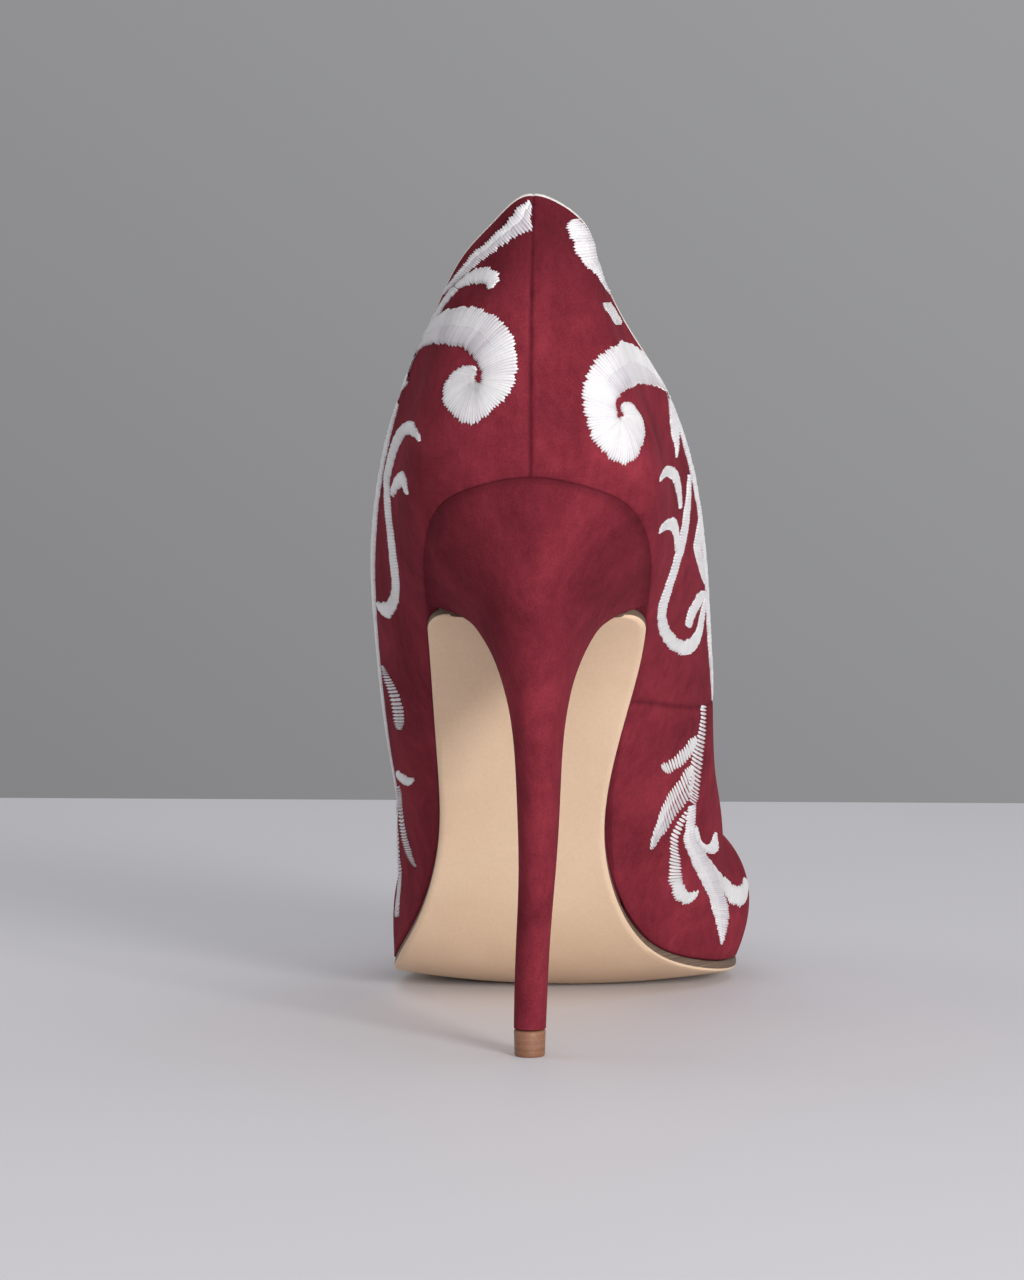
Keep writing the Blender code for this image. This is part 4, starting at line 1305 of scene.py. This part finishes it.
def ribbon(side, line, widths):
    """Thread ends across a line of rows and shares on one side, with a width in millimetres at each point."""
    line = np.asarray(line, float)
    place, share = side * line[:, 0], line[:, 1]
    step = 0.01
    points = on_upper(place, share)
    round_it = (on_upper(place + step, share) - on_upper(place - step, share)) / (2 * step)
    low, high = np.maximum(share - step, 0.0), np.minimum(share + step, 1.0)
    up_it = (on_upper(place, high) - on_upper(place, low)) / (high - low)[:, None]
    run = units(np.gradient(points, axis=0))
    across = units(np.cross(units(np.cross(round_it, up_it)), run)) * 0.5 * np.asarray(widths, float)[:, None]
    rows = []
    for i in range(len(line)):
        axes = np.stack([round_it[i], up_it[i]], axis=1)
        shift = np.linalg.lstsq(axes, across[i], rcond=None)[0]
        first, second = (place[i] + shift[0], share[i] + shift[1]), (place[i] - shift[0], share[i] - shift[1])
        rows.append((first[0], min(max(first[1], 0.01), 0.99), second[0], min(max(second[1], 0.01), 0.99)))
    return rows


def drawn(side, origin, turn, flat):
    """Rows and shares of a line drawn flat in millimetres, forward and up, turned and laid at an origin."""
    turn = math.radians(turn)
    spot = np.array(origin, float)
    step = 0.05
    line = []
    before = np.zeros(2)
    for ahead, rise in flat:
        here = np.array([
            ahead * math.cos(turn) - rise * math.sin(turn),
            ahead * math.sin(turn) + rise * math.cos(turn),
        ])
        move = here - before
        before = here
        at = on_upper(side * spot[0], spot[1])
        forward = (on_upper(side * (spot[0] + step), spot[1]) - at) / step
        above = on_upper(side * spot[0], min(spot[1] + 0.01, 1.0))
        upward = (above - on_upper(side * spot[0], spot[1] - 0.01)) / 0.02
        level = units(forward)
        square = units(upward - level * upward.dot(level))
        want = level * move[0] + square * move[1]
        shift = np.linalg.lstsq(np.stack([forward, upward], axis=1), want, rcond=None)[0]
        spot = spot + shift
        line.append((spot[0], spot[1]))
    return line


def scroll(side, origin, turn, size, width, hand=1.0):
    """A C scroll: it runs out broad, winds in and ends in its curl. Its width is the broadest."""
    share = np.linspace(0.0, 1.0, 22)
    angle = hand * (-0.35 * math.pi + 2.25 * math.pi * share)
    radius = size * (1.0 - 0.80 * share) ** 0.85
    flat = np.stack([radius * np.cos(angle), radius * np.sin(angle)], axis=1)
    flat = flat - flat[0]
    widths = width * np.clip(np.minimum(0.16 + 2.6 * share, 1.25 - 0.75 * share), 0.1, 1.0)
    return 0.0, ribbon(side, drawn(side, origin, turn, flat), widths), 0.0


def leaf(side, origin, turn, length, width, bend=0.0):
    """A leaf from its root: it swells, bends to one side and runs out to a point."""
    share = np.linspace(0.0, 1.0, 12)
    flat = np.stack([length * share, bend * length * share**2], axis=1)
    widths = width * np.clip(np.sin(math.pi * np.minimum(share + 0.04, 1.0) ** 0.8) ** 0.8, 0.06, 1.0)
    return 1.2, ribbon(side, drawn(side, origin, turn, flat), widths), 0.0


def border_vine(side):
    """The vine along the topline: on the lateral side down to the vamp, on the medial side to the seam."""
    if side < 0:
        line = (
            (4.1, 0.98), (4.5, 0.965), (5.1, 0.955), (5.6, 0.943), (6.04, 0.925), (6.46, 0.90),
            (6.88, 0.858), (7.3, 0.808), (7.68, 0.752), (8.2, 0.69), (8.5, 0.645), (8.8, 0.60),
        )
        widths = (1.4, 3.0, 4.0, 4.8, 5.2, 5.2, 5.0, 4.6, 4.0, 3.2, 2.2, 0.8)
    else:
        line = (
            (4.15, 0.98), (4.6, 0.972), (5.1, 0.966), (5.6, 0.962), (6.06, 0.958), (6.58, 0.95),
            (7.14, 0.94), (7.5, 0.925), (7.75, 0.905),
        )
        widths = (1.4, 2.4, 3.0, 3.2, 3.2, 3.0, 2.6, 1.9, 0.7)
    return 0.0, ribbon(side, line, widths), 0.0


def unseen_motifs(side):
    """The rest of the pattern on one side: border vine, scroll beside the throat and the vamp's sprays."""
    motifs = [border_vine(side)]
    if side < 0:
        motifs.append(scroll(side, (9.0, 0.60), -10.0, 8.5, 4.6, 1.0))
    else:
        motifs.append(scroll(side, (9.9, 0.72), -10.0, 6.8, 4.0, 1.0))
    motifs.append(leaf(side, (10.3, 0.74), -30.0, 14.0, 4.6, 0.25))
    motifs.append(scroll(side, (12.5, 0.70), -34.0, 8.6, 4.8, 1.0))
    vine = ((11.2, 0.86), (11.6, 0.75), (12.1, 0.66), (12.8, 0.58), (13.5, 0.55), (14.1, 0.58), (14.6, 0.66))
    motifs.append((0.0, ribbon(side, vine, (0.8, 2.4, 3.2, 3.4, 3.0, 2.2, 0.8)), 0.0))
    motifs.append(leaf(side, (11.9, 0.66), -84.0, 17.0, 5.4, 0.30))
    motifs.append(leaf(side, (12.5, 0.58), -68.0, 15.0, 5.0, 0.28))
    motifs.append(leaf(side, (13.2, 0.53), -52.0, 12.5, 4.4, 0.26))
    motifs.append(leaf(side, (13.9, 0.54), -34.0, 10.0, 3.8, 0.24))
    motifs.append(leaf(side, (14.7, 0.72), -10.0, 9.0, 3.4, -0.15))
    rows = np.linspace(11.95, 14.6, 12)
    half = 3.5 * np.sin(math.pi * np.linspace(0.03, 1.0, 12) ** 0.8) ** 0.9
    tall = np.linalg.norm(on_upper(side * rows, 1.0) - on_upper(side * rows, 0.9), axis=1) / 0.1
    reach = np.maximum(half / tall, 0.004)
    ridge = [(side * row, 0.997 - wide, side * row + side * 0.06, 0.997) for row, wide in zip(rows, reach)]
    motifs.append((0.0, ridge, 0.0))
    return motifs


def sewn(rows, split, apart):
    """Satin stitch over rows of thread ends, each a place and share twice, in two rows up to the split."""
    rows = np.asarray(rows, float)
    curves = [natural_spline(rows[:, k]) for k in range(4)]
    fine = np.linspace(0.0, len(rows) - 1.0, SEWN_STEPS * (len(rows) - 1) + 1)
    ends = np.stack([along(curve, fine) for curve in curves], axis=-1)
    first, second = on_upper(ends[:, 0], ends[:, 1]), on_upper(ends[:, 2], ends[:, 3])
    runs = [np.linalg.norm(np.diff(line, axis=0), axis=1) for line in (first, second)]
    run = np.maximum(*runs)
    length = np.concatenate([[0.0], np.cumsum(run)])
    threads = max(int(length[-1] / (THREAD * (1.0 + 0.30 * apart))), 4)
    count = 2 * threads + 1
    at = np.interp(np.linspace(0.0, length[-1], count), length, fine)
    ends = np.stack([along(curve, at) for curve in curves], axis=-1)
    first, second = on_upper(ends[:, 0], ends[:, 1]), on_upper(ends[:, 2], ends[:, 3])
    width = np.linalg.norm(second - first, axis=1)
    crest = (np.arange(count) % 2).astype(float)
    single = np.repeat(CHANCE.uniform(-1.0, 1.0, (threads + 1, 3)), 2, axis=0)[:count]
    knots = np.linspace(0.0, count - 1.0, threads // 4 + 3)
    drifts = [np.interp(np.arange(count), knots, CHANCE.uniform(-1.0, 1.0, len(knots))) for _ in range(3)]
    coarse = np.stack(drifts, axis=1)
    ragged = 0.08 + 0.32 * single[:, :2] + 0.22 * coarse[:, :2]
    ragged = ragged - (0.46 + 0.30 * apart) * (1.0 - crest)[:, None]
    ragged = ragged * np.clip(width / 3.0, 0.3, 1.0)[:, None]
    ragged = np.clip(ragged / np.maximum(width, 0.8)[:, None], -0.24, 0.28)
    half = np.array(STITCH_SPOTS)
    across = np.concatenate([half, 1.0 - half[-2::-1]])[None, :]
    reach = across * (1.0 + ragged.sum(axis=1))[:, None] - ragged[:, :1]
    place = ends[:, 0:1] + (ends[:, 2:3] - ends[:, 0:1]) * reach
    share = np.clip(ends[:, 1:2] + (ends[:, 3:4] - ends[:, 1:2]) * reach, 0.003, 0.997)
    double = np.clip((split - np.linspace(0.0, 1.0, count)) / 0.14, 0.0, 1.0)[:, None]
    whole = np.clip(1.0 - np.abs(2.0 * across - 1.0) ** 3.0, 0.0, 1.0) ** 0.5
    part = np.where(np.isclose(across, 1.0), 1.0, np.mod(2.0 * across, 1.0))
    pair = np.clip(1.0 - np.abs(2.0 * part - 1.0) ** 3.0, 0.0, 1.0) ** 0.5
    pair = np.maximum(pair, 0.55 * groove(across - 0.5, 0.2))
    crown = whole + (pair - whole) * double
    tall = np.minimum(STITCH_HEIGHT, 0.12 + 0.20 * width)[:, None]
    lift = tall * crown * (0.66 + 0.34 * crest)[:, None] - 0.10 * np.isin(across, (0.0, 1.0))
    lift = lift - apart * (1.0 - crest)[:, None] * (tall * crown * 0.66 + 0.16)
    points = on_upper(place, share) + lift[..., None] * upper_normals(place, share)
    edge = np.abs(2.0 * across - 1.0) ** 3
    tone = 0.90 + 0.10 * single[:, 2:] + 0.08 * coarse[:, 2:]
    # Painted shade: the second row and the split line of split motifs drawn darker, and the valleys between
    # thread crests darker, most towards the ribbon's edges.
    tone = tone - 0.26 * double * (across > 0.5) - 0.30 * double * np.isclose(across, 0.5)
    tone = tone - (1.0 - crest)[:, None] * (0.30 + 0.40 * edge)
    return points, np.clip(tone, 0.0, 1.0)


def embroidery(name, charts):
    """One piece of all the satin stitch of a side."""
    points, faces, tones = [], [], []
    start = 0
    for split, rows, apart in charts:
        net, tone = sewn(rows, split, apart)
        some = quads(*net.shape[:2])
        middle = len(some) // 2
        corners = net.reshape(-1, 3)[some[middle]]
        out = np.cross(corners[1] - corners[0], corners[3] - corners[0])
        mean = np.asarray(rows)[len(rows) // 2]
        wanted = upper_normals(0.5 * (mean[0] + mean[2]), 0.5 * (mean[1] + mean[3]))
        if out @ wanted < 0:
            some = some[:, ::-1]
        points.append(net.reshape(-1, 3))
        faces.append(some + start)
        tones.append(tone.reshape(-1))
        start += net.shape[0] * net.shape[1]
    values = {"thread": np.concatenate(tones)}
    return add_piece(name, np.concatenate(points), np.concatenate(faces), [SILK], values=values)


def build_embroidery():
    """The embroidery of each side: what the picture shows and the rest of the pattern."""
    pieces = []
    for name, side, chart in (
        ("embroidery_lateral", -1.0, LATERAL_CHART),
        ("embroidery_medial", 1.0, MEDIAL_CHART),
    ):
        seen = seen_side(side)
        edges = edge_of(seen, side)
        charts = []
        for kind, rows in chart.values():
            split, limit, apart = KINDS[kind]
            charts.append((split, narrowed(traced(seen, edges, rows), limit), apart))
        charts += unseen_motifs(side)
        pieces.append(embroidery(name, charts))
    return pieces


# The stage

def build_stage():
    """A pale floor that ends beyond the shoe, a grey room round it and soft lamps."""
    wide = FLOOR_REACH
    corners = [(-wide, -wide, 0), (wide, -wide, 0), (wide, FLOOR_BACK, 0), (-wide, FLOOR_BACK, 0)]
    made, tree, shader = node_material("pale_floor", specular=0.25)
    cloud = noise(tree, 3.0, 2.0)
    color = ramp(tree, cloud, ((0.3, (0.70, 0.69, 0.725)), (0.7, (0.725, 0.715, 0.75))))
    tree.links.new(color, shader.inputs["Base Color"])
    shader.inputs["Roughness"].default_value = 0.6
    floor = add_piece("floor", corners, [(0, 1, 2, 3)], [made])
    world = bpy.data.worlds.new("room")
    world.use_nodes = True
    tree = world.node_tree
    place = tree.nodes.new("ShaderNodeTexCoord")
    parts = tree.nodes.new("ShaderNodeSeparateXYZ")
    tree.links.new(place.outputs["Generated"], parts.inputs["Vector"])
    rise = maths(tree, "MULTIPLY", parts.outputs["Z"], 0.32)
    turn = maths(tree, "MULTIPLY", parts.outputs["X"], 0.24)
    level = maths(tree, "ADD", maths(tree, "ADD", rise, turn), 0.300)
    level = maths(tree, "MINIMUM", maths(tree, "MAXIMUM", level, 0.21), 0.38)
    join = tree.nodes.new("ShaderNodeCombineColor")
    tree.links.new(level, join.inputs[0])
    tree.links.new(level, join.inputs[1])
    tree.links.new(maths(tree, "MULTIPLY", level, 1.025), join.inputs[2])
    tree.links.new(join.outputs[0], tree.nodes["Background"].inputs["Color"])
    tree.nodes["Background"].inputs["Strength"].default_value = 1.0
    bpy.context.scene.world = world
    lamp("key", (0.85, -1.30, 0.44), (0.0, 0.08, 0.07), 0.45, 0.45, 20.0, (1.0, 0.985, 0.965))
    lamp("overhead", (0.1, 0.1, 1.5), (0.0, 0.08, 0.0), 1.6, 1.6, 5.0, (1.0, 1.0, 1.0))
    lamp("front", (0.15, -1.6, 0.30), (0.0, 0.10, 0.05), 1.2, 0.4, 4.6, (1.0, 0.99, 0.98))
    lamp("fill", (-1.5, 0.30, 0.45), (0.0, 0.08, 0.08), 0.9, 0.9, 3.4, (1.0, 0.99, 0.98))


def lamp(name, place, aim, width, height, power, color):
    """A soft lamp in metres and watts, turned to its aim."""
    data = bpy.data.lights.new(name, "AREA")
    data.shape = "RECTANGLE"
    data.size = width
    data.size_y = height
    data.energy = power
    data.color = color
    item = bpy.data.objects.new(name, data)
    item.location = place
    from_aim = np.array(place) - np.array(aim)
    from_aim = from_aim / np.linalg.norm(from_aim)
    side = np.cross((0.0, 0.0, 1.0), from_aim)
    side = side / np.linalg.norm(side)
    up = np.cross(from_aim, side)
    away = Matrix((side, up, from_aim)).transposed()
    item.rotation_euler = away.to_euler()
    bpy.context.scene.collection.objects.link(item)
    return item


def build_camera():
    """The camera at the place from which the picture was taken."""
    data = bpy.data.cameras.new("camera")
    data.lens = LENS
    data.sensor_width = 36.0
    data.sensor_fit = "AUTO"
    data.clip_start = 0.05
    data.clip_end = 50.0
    item = bpy.data.objects.new("camera", data)
    item.location = [0.001 * value for value in CAMERA]
    item.rotation_euler = (math.radians(90.0 - CAMERA_DIP), 0.0, math.radians(CAMERA_TURN))
    bpy.context.scene.collection.objects.link(item)
    bpy.context.scene.camera = item


def main():
    build_camera()
    build_stage()
    upper, lined = build_upper()
    for piece, node, slot in (
        (upper, "upper", "burgundy_suede"),
        (build_heel(), "heel", "burgundy_suede"),
        (build_sole(), "outsole", "tan_sole_leather"),
        (build_sock(), "insole", "pale_insole_leather"),
        (build_top_piece(), "heel_tip", "brown_tip"),
    ):
        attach(piece, "root")
        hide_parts(node)
    for piece in build_embroidery():
        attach(piece, "root")
    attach(lined, "root")
    bpy.context.scene.view_settings.view_transform = "Standard"


main()
